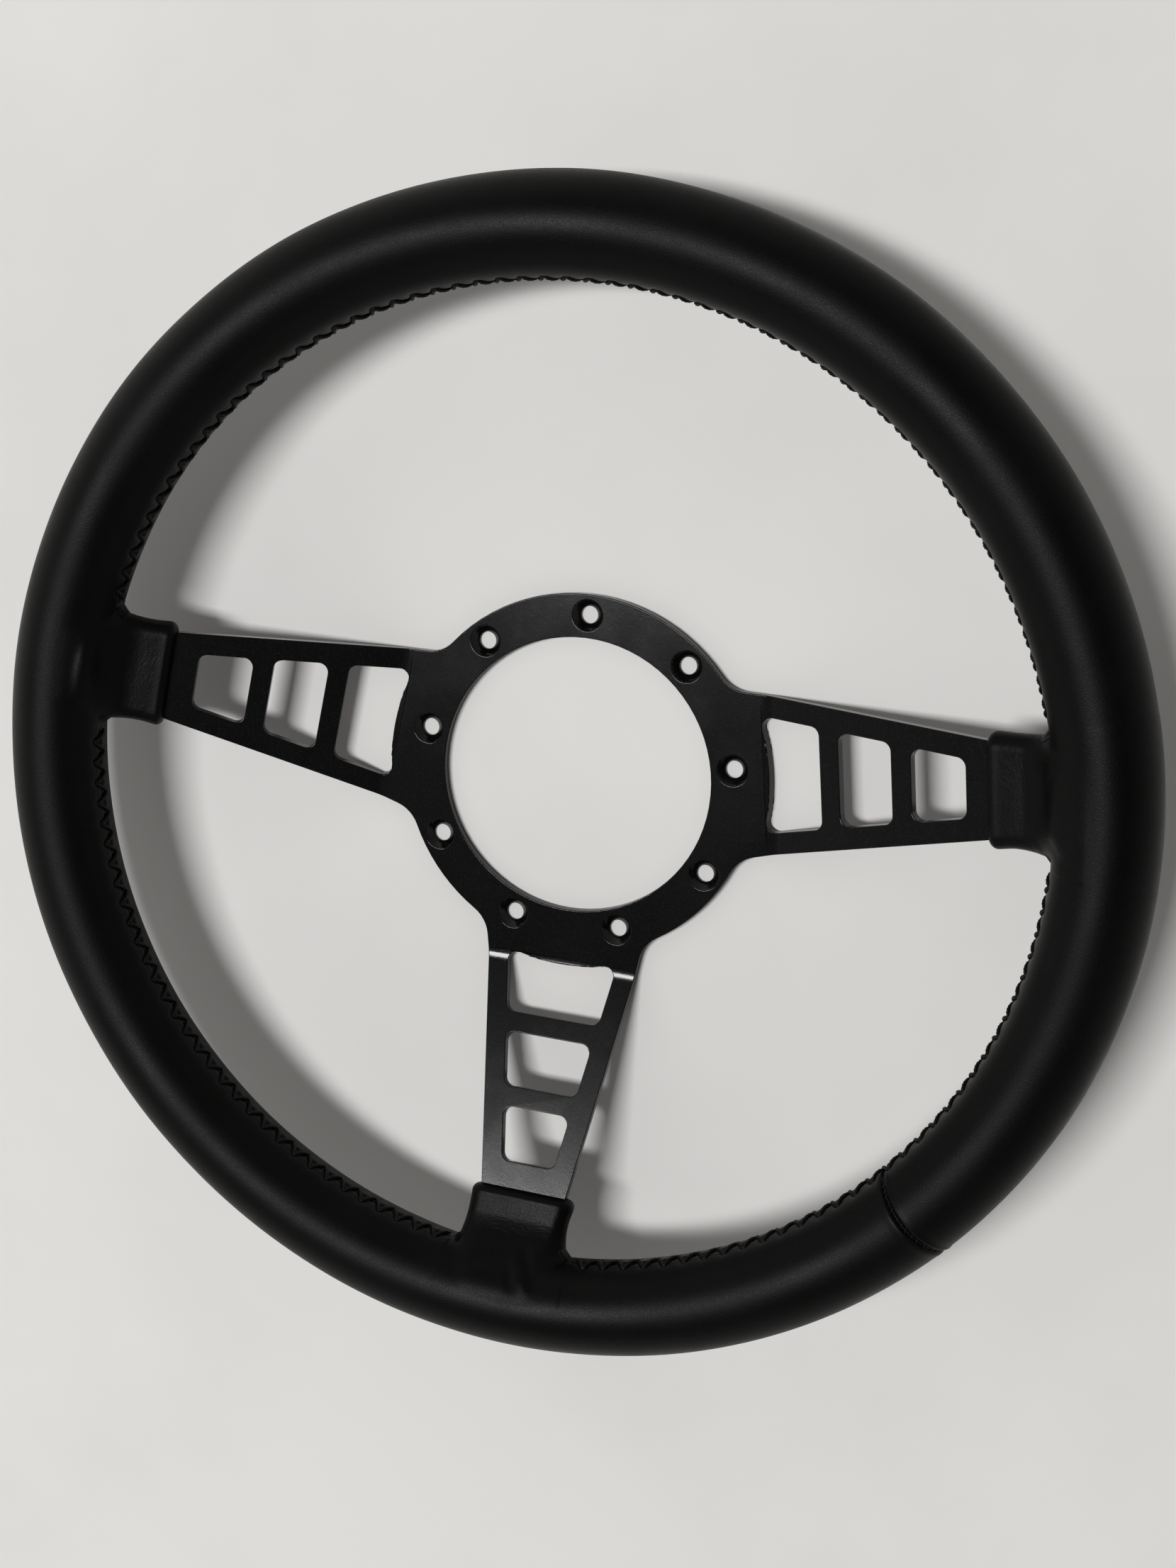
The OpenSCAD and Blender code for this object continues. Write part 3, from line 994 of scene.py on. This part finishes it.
@dataclass
class SpokePlate:
    """The coated plate: a merged copy of the CAD plate whose sharp edges are rounded."""

    rounds: tuple[tuple[float, float, int], ...] = ((0.32, 50.0, 3), (0.15, 35.0, 2))
    flat_angle: float = math.radians(0.5)
    dropped: tuple[str, ...] = ("custom_normal", "sharp_edge", "sharp_face")

    def build(self, material: bpy.types.Material) -> bpy.types.Object:
        """Copies the plate, joins its loose triangles into flat faces and rounds the edges.

        The first rounding takes the edges of 50 degrees or more, and the second those of the countersinks.

        Args:
            material: The coating.

        Returns:
            The piece.
        """
        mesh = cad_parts["spoke_plate"].data.copy()
        mesh.name = "coated_spoke_plate"
        for name in self.dropped:
            if name in mesh.attributes:
                mesh.attributes.remove(mesh.attributes[name])
        shell = bmesh.new()
        shell.from_mesh(mesh)
        bmesh.ops.remove_doubles(shell, verts=shell.verts, dist=0.002 * MM)
        bmesh.ops.dissolve_limit(shell, angle_limit=self.flat_angle, verts=shell.verts, edges=shell.edges)
        shell.to_mesh(mesh)
        shell.free()
        mesh.materials.clear()
        mesh.materials.append(material)
        mesh.shade_smooth()
        piece = bpy.data.objects.new("coated_spoke_plate", mesh)
        bpy.context.scene.collection.objects.link(piece)
        for number, (width, angle, segments) in enumerate(self.rounds):
            bevel = piece.modifiers.new(f"rounded_edges_{number}", "BEVEL")
            bevel.width = width * MM
            bevel.segments = segments
            bevel.limit_method = "ANGLE"
            bevel.angle_limit = math.radians(angle)
            bevel.use_clamp_overlap = False
            bevel.miter_outer = "MITER_ARC"
        weighted = piece.modifiers.new("flat_faces_stay_flat", "WEIGHTED_NORMAL")
        weighted.keep_sharp = False
        hand_over(piece, ("spoke_plate",))
        return piece


class NodeWriter:
    """Adds nodes to a shader tree and links them, so that a material reads as a list of steps."""

    def __init__(self, tree: bpy.types.NodeTree) -> None:
        """Starts with an empty tree."""
        self.tree = tree
        tree.nodes.clear()

    def add(self, kind: str, inputs: dict[str, object] | None = None, **settings: object) -> bpy.types.Node:
        """Adds a node.

        Args:
            kind: Blender's name of the node type.
            inputs: Input sockets by name, each with a value or with a socket to link from.
            settings: Properties of the node.

        Returns:
            The node.
        """
        node = self.tree.nodes.new(kind)
        for name, value in settings.items():
            setattr(node, name, value)
        self.feed_all(node, inputs or {})
        return node

    def feed_all(self, node: bpy.types.Node, inputs: dict[str, object]) -> None:
        """Feeds a node's inputs by their names."""
        for name, value in inputs.items():
            self.feed(node.inputs[name], value)

    def feed(self, socket: bpy.types.NodeSocket, value: object) -> None:
        """Links a socket to an input, or sets the input's own value."""
        if isinstance(value, bpy.types.NodeSocket):
            self.tree.links.new(value, socket)
        else:
            socket.default_value = value

    def maths(self, operation: str, *values: object) -> bpy.types.NodeSocket:
        """The result of a Math node."""
        node = self.tree.nodes.new("ShaderNodeMath")
        node.operation = operation
        for socket, value in zip(node.inputs, values):
            self.feed(socket, value)
        return node.outputs[0]

    def vector_maths(self, operation: str, *values: object) -> bpy.types.NodeSocket:
        """The vector result of a Vector Math node."""
        node = self.add("ShaderNodeVectorMath", operation=operation)
        for socket, value in zip([i for i in node.inputs if i.enabled], values):
            self.feed(socket, value)
        return node.outputs[0]

    def ramp(self, value: bpy.types.NodeSocket, low: float, high: float, to_low: float = 0.0,
             to_high: float = 1.0) -> bpy.types.NodeSocket:
        """Maps low..high smoothly to to_low..to_high."""
        node = self.add("ShaderNodeMapRange", interpolation_type="SMOOTHSTEP")
        self.feed_all(node, {"From Min": low, "From Max": high, "To Min": to_low, "To Max": to_high,
                             "Value": value})
        return node.outputs["Result"]

    def noise(self, vector: bpy.types.NodeSocket, scale: float, detail: float = 2.0,
              roughness: float = 0.5) -> bpy.types.NodeSocket:
        """A noise value of about 0 to 1."""
        node = self.add("ShaderNodeTexNoise", {"Vector": vector, "Scale": scale, "Detail": detail,
                                               "Roughness": roughness})
        return node.outputs[0]

    def mix_colour(self, share: object, first: object, second: object) -> bpy.types.NodeSocket:
        """A colour between two colours."""
        node = self.add("ShaderNodeMix", data_type="RGBA")
        for socket, value in zip((node.inputs[0], node.inputs[6], node.inputs[7]), (share, first, second)):
            self.feed(socket, value)
        return node.outputs[2]


class Effect(Enum):
    """Node groups that more than one finish uses. Each puts out values that change over the surface."""

    HIDE = "hide_grain"
    SPECKLE = "fine_speckle"
    HANDLING = "handling_marks"
    FIBRE = "twisted_fibre"

    def group(self) -> bpy.types.NodeTree:
        """The group's tree, made when it is first asked for."""
        return bpy.data.node_groups.get(self.value) or _EFFECT_MAKERS[self](self.value)


def new_group(name: str, values_in: dict[str, float], values_out: tuple[str, ...]) -> tuple[
        bpy.types.NodeTree, NodeWriter, bpy.types.Node, bpy.types.Node]:
    """Makes a shader node group with a Vector input, named value inputs and named value outputs.

    Args:
        name: Name of the group.
        values_in: Names and defaults of the value inputs.
        values_out: Names of the value outputs.

    Returns:
        The tree, its writer, and its input and output nodes.
    """
    tree = bpy.data.node_groups.new(name, "ShaderNodeTree")
    tree.interface.new_socket("Vector", in_out="INPUT", socket_type="NodeSocketVector")
    for label, default in values_in.items():
        tree.interface.new_socket(label, in_out="INPUT", socket_type="NodeSocketFloat").default_value = default
    for label in values_out:
        tree.interface.new_socket(label, in_out="OUTPUT", socket_type="NodeSocketFloat")
    writer = NodeWriter(tree)
    return tree, writer, writer.add("NodeGroupInput"), writer.add("NodeGroupOutput")


def make_hide_grain(name: str) -> bpy.types.NodeTree:
    """Leather grain: fine noise with faint creases between small cells.

    Height is the noise less a share of the creases. Crease is the mask of the creases, and Tone a slow change
    of shade.
    """
    tree, w, ends, out = new_group(name, {"Scale": 1400.0, "Wander": 0.0004}, ("Height", "Crease", "Tone"))
    drift = w.add("ShaderNodeTexNoise", {"Vector": ends.outputs["Vector"], "Scale": 900.0, "Detail": 2.0})
    moved = w.vector_maths("SUBTRACT", drift.outputs["Color"], (0.5, 0.5, 0.5))
    scaled = w.vector_maths("SCALE", moved, ends.outputs["Wander"])
    place = w.vector_maths("ADD", ends.outputs["Vector"], scaled)
    cells = w.add("ShaderNodeTexVoronoi", {"Vector": place, "Scale": ends.outputs["Scale"]},
                  feature="DISTANCE_TO_EDGE")
    crease = w.ramp(cells.outputs["Distance"], 0.0, 0.16, 1.0, 0.0)
    fine = w.noise(place, 2100.0, 3.0, 0.6)
    height = w.maths("SUBTRACT", fine, w.maths("MULTIPLY", crease, 0.13))
    tone = w.noise(ends.outputs["Vector"], 55.0, 3.0, 0.55)
    w.feed_all(out, {"Height": height, "Crease": crease, "Tone": tone})
    return tree


def make_fine_speckle(name: str) -> bpy.types.NodeTree:
    """Speckle of a coating or foam: random flakes in small cells, and an orange-peel swell.

    Glint is a mask of a share of the flakes for painted glints, Height the swell with a trace of the flakes,
    and Tone a slow change of shade.
    """
    tree, w, ends, out = new_group(name, {"Scale": 3200.0, "Peel": 700.0, "Share": 0.12},
                                   ("Height", "Glint", "Tone"))
    flakes = w.add("ShaderNodeTexVoronoi", {"Vector": ends.outputs["Vector"], "Scale": ends.outputs["Scale"]})
    pick = w.add("ShaderNodeSeparateColor", {"Color": flakes.outputs["Color"]})
    glint = w.maths("LESS_THAN", pick.outputs[0], ends.outputs["Share"])
    swell = w.add("ShaderNodeTexNoise", {"Vector": ends.outputs["Vector"], "Scale": ends.outputs["Peel"],
                                         "Detail": 1.0})
    height = w.maths("ADD", swell.outputs[0], w.maths("MULTIPLY", pick.outputs[1], 0.25))
    tone = w.noise(ends.outputs["Vector"], 38.0, 4.0, 0.6)
    w.feed_all(out, {"Height": height, "Glint": glint, "Tone": tone})
    return tree


def make_handling_marks(name: str) -> bpy.types.NodeTree:
    """Faint marks of handling: slow smudges and a little dust, both as masks."""
    tree, w, ends, out = new_group(name, {"Scale": 26.0}, ("Smudge", "Dust"))
    slow = w.add("ShaderNodeTexNoise", {"Vector": ends.outputs["Vector"], "Scale": ends.outputs["Scale"],
                                        "Detail": 4.0, "Roughness": 0.62})
    smudge = w.ramp(slow.outputs[0], 0.38, 0.68)
    specks = w.add("ShaderNodeTexVoronoi", {"Vector": ends.outputs["Vector"], "Scale": 420.0})
    dust = w.maths("MULTIPLY", w.ramp(specks.outputs["Distance"], 0.02, 0.09, 1.0, 0.0),
                   w.ramp(w.noise(ends.outputs["Vector"], 70.0, 2.0), 0.55, 0.75))
    w.feed_all(out, {"Smudge": smudge, "Dust": dust})
    return tree


def make_twisted_fibre(name: str) -> bpy.types.NodeTree:
    """Fibres of a thread: fine streaks. Height and Tone change over the surface."""
    tree, w, ends, out = new_group(name, {"Scale": 2600.0}, ("Height", "Tone"))
    streaks = w.add("ShaderNodeTexNoise", {"Vector": ends.outputs["Vector"], "Scale": ends.outputs["Scale"],
                                           "Detail": 4.0, "Roughness": 0.7})
    w.feed_all(out, {"Height": streaks.outputs[0], "Tone": w.noise(ends.outputs["Vector"], 400.0, 2.0)})
    return tree


_EFFECT_MAKERS: dict[Effect, Callable[[str], bpy.types.NodeTree]] = {
    Effect.HIDE: make_hide_grain,
    Effect.SPECKLE: make_fine_speckle,
    Effect.HANDLING: make_handling_marks,
    Effect.FIBRE: make_twisted_fibre,
}


def opaque(colour: Colour) -> Rgba:
    """A colour with full alpha."""
    return (*colour, 1)


@dataclass(frozen=True)
class Finish:
    """What every finish holds: a name, a colour and the shader's plain values."""

    name: str
    colour: Colour
    roughness: float
    metallic: float = 0.0
    specular: float = 0.5

    def start(self) -> tuple[bpy.types.Material, NodeWriter, bpy.types.Node, bpy.types.NodeSocket]:
        """Makes the material with its shader and Object coordinates.

        Returns:
            The material, its writer, its Principled shader and the coordinates.
        """
        material = bpy.data.materials.new(self.name)
        material.use_nodes = True
        w = NodeWriter(material.node_tree)
        out = w.add("ShaderNodeOutputMaterial")
        shader = w.add("ShaderNodeBsdfPrincipled", {
            "Base Color": self.shade(), "Roughness": self.roughness, "Metallic": self.metallic,
            "Specular IOR Level": self.specular})
        w.tree.links.new(shader.outputs[0], out.inputs["Surface"])
        coordinates = w.add("ShaderNodeTexCoord").outputs["Object"]
        return material, w, shader, coordinates

    def shade(self, factor: float = 1.0) -> Rgba:
        """The finish's colour, lighter or darker by a factor."""
        return opaque(tuple(factor * c for c in self.colour))

    def uneven_roughness(self, w: NodeWriter, noise: bpy.types.NodeSocket, less: float,
                         more: float) -> bpy.types.NodeSocket:
        """Roughness that follows a noise, from less below the finish's own to more above it."""
        return w.ramp(noise, *NOISE_RANGE, self.roughness - less, self.roughness + more)

    @staticmethod
    def effect(w: NodeWriter, effect: Effect, vector: bpy.types.NodeSocket, **values: float) -> bpy.types.Node:
        """Places a shared effect with this finish's own values."""
        node = w.add("ShaderNodeGroup", node_tree=effect.group())
        w.feed_all(node, {"Vector": vector, **values})
        return node

    @staticmethod
    def bump(w: NodeWriter, height: bpy.types.NodeSocket, depth: float, strength: float = 1.0,
             under: bpy.types.NodeSocket | None = None) -> bpy.types.NodeSocket:
        """Normals from a height of 0 to 1 and a depth in millimetres, over another bump if one is given."""
        node = w.add("ShaderNodeBump", {"Height": height, "Distance": depth * MM, "Strength": strength})
        if under is not None:
            w.feed(node.inputs["Normal"], under)
        return node.outputs[0]


@dataclass(frozen=True)
class Leather(Finish):
    """Smooth black hide with a fine grain, polished a little by handling and wrinkled on the ears."""

    polished: float = 0.34
    dull: float = 0.4
    light_colour: Colour = (0.0015, 0.00145, 0.0014)
    painted_crease_shade_colour: Colour = (0.0006, 0.0006, 0.0006)
    painted_crease_shade_share: float = 0.15
    crease_roughness: float = 0.12
    dust_colour: Colour = (0.12, 0.115, 0.11)
    dust_share: float = 0.015
    grain_depth: float = 0.05
    wrinkle_depth: float = 0.13
    wrinkle_drift: tuple[float, float, float] = (9.0, 6.0, 0.0)
    wrinkle_stretch: tuple[float, float, float] = (1.0, 0.36, 0.6)

    def build(self) -> bpy.types.Material:
        """Makes the material: grain everywhere, and wrinkles across the ears from the ear_place attribute."""
        material, w, shader, place = self.start()
        hide = self.effect(w, Effect.HIDE, place, Scale=2100.0, Wander=0.0009)
        marks = self.effect(w, Effect.HANDLING, place, Scale=22.0)
        ear = w.add("ShaderNodeAttribute", attribute_name="ear_place").outputs["Vector"]
        wrinkles = self.wrinkles(w, ear)
        tone = w.mix_colour(w.ramp(hide.outputs["Tone"], *NOISE_RANGE), self.shade(),
                            opaque(self.light_colour))
        # Painted shade: the colour is darkened in the grain's creases.
        painted_crease_shade = w.mix_colour(w.maths("MULTIPLY", hide.outputs["Crease"], self.painted_crease_shade_share), tone,
                               opaque(self.painted_crease_shade_colour))
        dusty = w.mix_colour(w.maths("MULTIPLY", marks.outputs["Dust"], self.dust_share), painted_crease_shade,
                             opaque(self.dust_colour))
        rough = w.ramp(marks.outputs["Smudge"], 0.0, 1.0, self.dull, self.polished)
        crease_rough = w.maths("MULTIPLY", hide.outputs["Crease"], self.crease_roughness)
        folded = self.bump(w, wrinkles, self.wrinkle_depth, 0.9)
        w.feed_all(shader, {
            "Base Color": dusty, "Roughness": w.maths("ADD", rough, crease_rough),
            "Normal": self.bump(w, hide.outputs["Height"], self.grain_depth, 0.9, folded)})
        return material

    def wrinkles(self, w: NodeWriter, ear: bpy.types.NodeSocket) -> bpy.types.NodeSocket:
        """Height of the fine wrinkles that run across an ear, faded out towards the rim's crest and the hem.

        The noise is stretched across the ear, and its place is bent by a slower noise so that no wrinkle is
        straight.
        """
        drift = w.add("ShaderNodeTexNoise", {"Vector": ear, "Scale": 0.09, "Detail": 1.0})
        moved = w.vector_maths("MULTIPLY_ADD", drift.outputs["Color"], self.wrinkle_drift, ear)
        squeezed = w.add("ShaderNodeMapping", {"Vector": moved, "Scale": self.wrinkle_stretch})
        fine = w.noise(squeezed.outputs[0], 1.1, 3.0, 0.6)
        parts = w.add("ShaderNodeSeparateXYZ", {"Vector": ear})
        past_hem = w.ramp(parts.outputs["X"], 1.0, 6.0)
        before_crest = w.ramp(parts.outputs["X"], 20.0, 32.0, 1.0, 0.0)
        across = w.ramp(w.maths("ABSOLUTE", parts.outputs["Y"]), 12.0, 23.0, 1.0, 0.0)
        mask = w.maths("MULTIPLY", w.maths("MULTIPLY", past_hem, before_crest), across)
        return w.maths("MULTIPLY", fine, mask)


@dataclass(frozen=True)
class Coating(Finish):
    """Satin black coating with a fine orange peel and metallic flakes, some painted lighter as glints."""

    painted_glint_colour: Colour = (0.03, 0.031, 0.033)
    painted_glint_share: float = 0.2
    dust_colour: Colour = (0.2, 0.2, 0.2)
    dust_share: float = 0.08
    peel_depth: float = 0.006

    def build(self) -> bpy.types.Material:
        """Makes the material: painted glints lighten the colour of some flakes, and the peel breaks up the
        gloss.
        """
        material, w, shader, place = self.start()
        flakes = self.effect(w, Effect.SPECKLE, place, Scale=4200.0, Peel=1500.0, Share=0.10)
        marks = self.effect(w, Effect.HANDLING, place, Scale=30.0)
        tone = w.mix_colour(w.ramp(flakes.outputs["Tone"], *NOISE_RANGE), self.shade(), self.shade(1.35))
        # Painted glints: a share of the flakes is made lighter in colour.
        painted_glints = w.mix_colour(w.maths("MULTIPLY", flakes.outputs["Glint"], self.painted_glint_share), tone,
                               opaque(self.painted_glint_colour))
        w.feed_all(shader, {
            "Base Color": w.mix_colour(w.maths("MULTIPLY", marks.outputs["Dust"], self.dust_share), painted_glints,
                                       opaque(self.dust_colour)),
            "Roughness": w.ramp(marks.outputs["Smudge"], 0.0, 1.0, self.roughness - 0.005,
                                self.roughness + 0.015),
            "Normal": self.bump(w, flakes.outputs["Height"], self.peel_depth, 0.8)})
        return material


@dataclass(frozen=True)
class Thread(Finish):
    """Waxed black sewing thread."""

    def build(self) -> bpy.types.Material:
        """Makes the material: fibre streaks in colour, gloss and height."""
        material, w, shader, place = self.start()
        fibre = self.effect(w, Effect.FIBRE, place, Scale=2600.0)
        w.feed_all(shader, {
            "Base Color": w.mix_colour(w.ramp(fibre.outputs["Tone"], 0.35, 0.7), self.shade(), self.shade(2.2)),
            "Roughness": self.uneven_roughness(w, fibre.outputs["Height"], 0.1, 0.1),
            "Normal": self.bump(w, fibre.outputs["Height"], 0.05, 0.8)})
        return material


@dataclass(frozen=True)
class TubeSteel(Finish):
    """Drawn steel tube with a thin film of oil, hidden inside the rim."""

    def build(self) -> bpy.types.Material:
        """Makes the material: drawing marks change the gloss, and smudges darken the colour."""
        material, w, shader, place = self.start()
        marks = self.effect(w, Effect.HANDLING, place, Scale=40.0)
        streaks = self.effect(w, Effect.FIBRE, place, Scale=900.0)
        w.feed_all(shader, {
            "Base Color": w.mix_colour(marks.outputs["Smudge"], self.shade(), self.shade(0.55)),
            "Roughness": self.uneven_roughness(w, streaks.outputs["Height"], 0.08, 0.12),
            "Normal": self.bump(w, streaks.outputs["Height"], 0.02, 0.6)})
        return material


@dataclass(frozen=True)
class Foam(Finish):
    """Moulded foam with open pores, hidden under the leather."""

    def build(self) -> bpy.types.Material:
        """Makes the material: painted shade darkens the skin in the pores, and the pores dent it."""
        material, w, shader, place = self.start()
        pores = self.effect(w, Effect.HIDE, place, Scale=900.0, Wander=0.0006)
        speckle = self.effect(w, Effect.SPECKLE, place, Scale=1500.0, Peel=400.0, Share=0.2)
        w.feed_all(shader, {
            # Painted shade: the colour is darkened in the pores.
            "Base Color": w.mix_colour(pores.outputs["Crease"], self.shade(), self.shade(0.4)),
            "Roughness": self.uneven_roughness(w, speckle.outputs["Tone"], 0.08, 0.05),
            "Normal": self.bump(w, pores.outputs["Height"], 0.15, 0.8)})
        return material


@dataclass(frozen=True)
class Card(Finish):
    """Pale matt card of the floor."""

    def build(self) -> bpy.types.Material:
        """Makes the material: faint fibres and slow changes of shade."""
        material, w, shader, place = self.start()
        marks = self.effect(w, Effect.HANDLING, place, Scale=5.0)
        fibre = self.effect(w, Effect.FIBRE, place, Scale=600.0)
        w.feed_all(shader, {
            "Base Color": w.mix_colour(marks.outputs["Smudge"], self.shade(), self.shade(0.95)),
            "Normal": self.bump(w, fibre.outputs["Height"], 0.05, 0.3)})
        return material


@dataclass(frozen=True)
class Finishes:
    """All finishes of the wheel and its floor."""

    leather: Leather = Leather("black_leather", (0.0008, 0.0008, 0.0008), 0.37, specular=0.095)
    coating: Coating = Coating("black_coating", (0.002, 0.0021, 0.0023), 0.13, specular=0.28)
    thread: Thread = Thread("waxed_thread", (0.0018, 0.0018, 0.0018), 0.6, specular=0.16)
    steel: TubeSteel = TubeSteel("tube_steel", (0.36, 0.36, 0.37), 0.35, metallic=1.0)
    foam: Foam = Foam("moulded_foam", (0.05, 0.05, 0.048), 0.85, specular=0.3)
    card: Card = Card("pale_card", (0.78, 0.77, 0.755), 0.8, specular=0.2)


@dataclass
class HiddenCore:
    """The steel tube and the foam, which stay as CAD nodes and get finishes of their own."""

    finishes: Finishes

    def dress(self) -> None:
        """Gives the two hidden nodes their materials."""
        for node, finish in (("rim_core", self.finishes.steel), ("foam_core", self.finishes.foam)):
            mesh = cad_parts[node].data
            mesh.materials.clear()
            mesh.materials.append(finish.build())
            log.info("%s: dressed as %s", node, finish.name)


@dataclass
class Studio:
    """Floor, soft light and the camera at the photograph's viewing angle."""

    finishes: Finishes
    photo_w: int = 1659
    photo_h: int = 2212
    focal_px: float = 2774.6
    centre_px: tuple[float, float] = (856.4, 1153.6)
    sensor_mm: float = 36.0
    camera_mm: tuple[float, float, float] = (174.86, 138.73, 574.44)
    camera_turn: tuple[float, float, float] = (-12.8826, 17.0460, 4.6591)
    floor_size: float = 6.0
    lamp_direction: tuple[float, float, float] = (-0.262, 0.02, 0.965)
    lamp_distance: float = 3.5
    lamp_size: tuple[float, float] = (0.5, 1.5)
    lamp_watts: float = 87.0
    sky_top: float = 0.13
    sky_side: float = 0.9
    sky_far_side: float = 0.5
    sky_heights: tuple[float, float] = (0.2, 0.85)
    sky_across: tuple[float, float] = (-0.8, 0.8)
    sky_colour: Colour = (1.0, 0.985, 0.96)

    def camera(self) -> None:
        """Sets the camera: its lens and shift come from the photograph's focal length and centre in pixels."""
        data = bpy.data.cameras.new("photo_camera")
        data.sensor_width = self.sensor_mm
        data.lens = self.focal_px / self.photo_h * self.sensor_mm
        data.shift_x = (self.photo_w / 2 - self.centre_px[0]) / self.photo_h
        data.shift_y = (self.centre_px[1] - self.photo_h / 2) / self.photo_h
        data.clip_start = 0.01
        camera = bpy.data.objects.new("photo_camera", data)
        camera.location = [c * MM for c in self.camera_mm]
        camera.rotation_euler = Euler([math.radians(t) for t in self.camera_turn])
        bpy.context.scene.collection.objects.link(camera)
        bpy.context.scene.camera = camera

    def floor(self) -> None:
        """Lays the pale floor under the hub."""
        half = self.floor_size / 2
        mesh = bpy.data.meshes.new("floor")
        corners = [(-half, -half, 0), (half, -half, 0), (half, half, 0), (-half, half, 0)]
        mesh.from_pydata(corners, [], [(0, 1, 2, 3)])
        mesh.materials.append(self.finishes.card.build())
        floor = bpy.data.objects.new("floor", mesh)
        bpy.context.scene.collection.objects.link(floor)

    def lamp(self) -> None:
        """Hangs a soft strip lamp that faces the wheel: narrow up and down the wheel and long across it."""
        data = bpy.data.lights.new("overhead_lamp", "AREA")
        data.shape = "RECTANGLE"
        data.size, data.size_y = self.lamp_size
        data.energy = self.lamp_watts
        lamp = bpy.data.objects.new("overhead_lamp", data)
        way = unit(np.array(self.lamp_direction))
        lamp.location = way * self.lamp_distance
        turn_x = math.acos(way[2])
        turn_z = math.atan2(way[1], way[0]) + math.pi / 2
        lamp.rotation_euler = Euler((turn_x, 0, turn_z))
        bpy.context.scene.collection.objects.link(lamp)

    def sky(self) -> None:
        """Lights the scene softly: pale at the horizon, dark overhead and dimmer on the right."""
        world = bpy.data.worlds.new("studio")
        bpy.context.scene.world = world
        world.use_nodes = True
        w = NodeWriter(world.node_tree)
        out = w.add("ShaderNodeOutputWorld")
        direction = w.add("ShaderNodeTexCoord").outputs["Generated"]
        parts = w.add("ShaderNodeSeparateXYZ", {"Vector": direction})
        height = w.ramp(parts.outputs["Z"], *self.sky_heights, self.sky_side, self.sky_top)
        across = w.ramp(parts.outputs["X"], *self.sky_across, 1.0, self.sky_far_side)
        sky = w.add("ShaderNodeBackground", {"Color": opaque(self.sky_colour),
                                             "Strength": w.maths("MULTIPLY", height, across)})
        w.feed(out.inputs["Surface"], sky.outputs[0])

    def build(self) -> None:
        """Sets camera, floor and light, and the plain view transform."""
        bpy.context.scene.view_settings.view_transform = "Standard"
        self.camera()
        self.floor()
        self.lamp()
        self.sky()
        log.info("studio: camera, floor, lamp and sky")


def main() -> None:
    """Builds the studio and every sub-assembly in order."""
    logging.basicConfig(level=logging.INFO, format="%(name)s: %(message)s")
    finishes = Finishes()
    sizes = WheelSizes.from_frame()
    spans = lace_spans(sizes)
    Studio(finishes).build()
    HiddenCore(finishes).dress()
    SpokePlate().build(finishes.coating.build())
    rim = LeatherRim(sizes, spans)
    rim.build(finishes.leather.build())
    thread = finishes.thread.build()
    Lacing(sizes, spans).build(thread)
    CrossSeam(sizes, rim).build(thread)
    EarStitching(sizes, rim).build(thread)


if __name__ == "__main__":
    main()
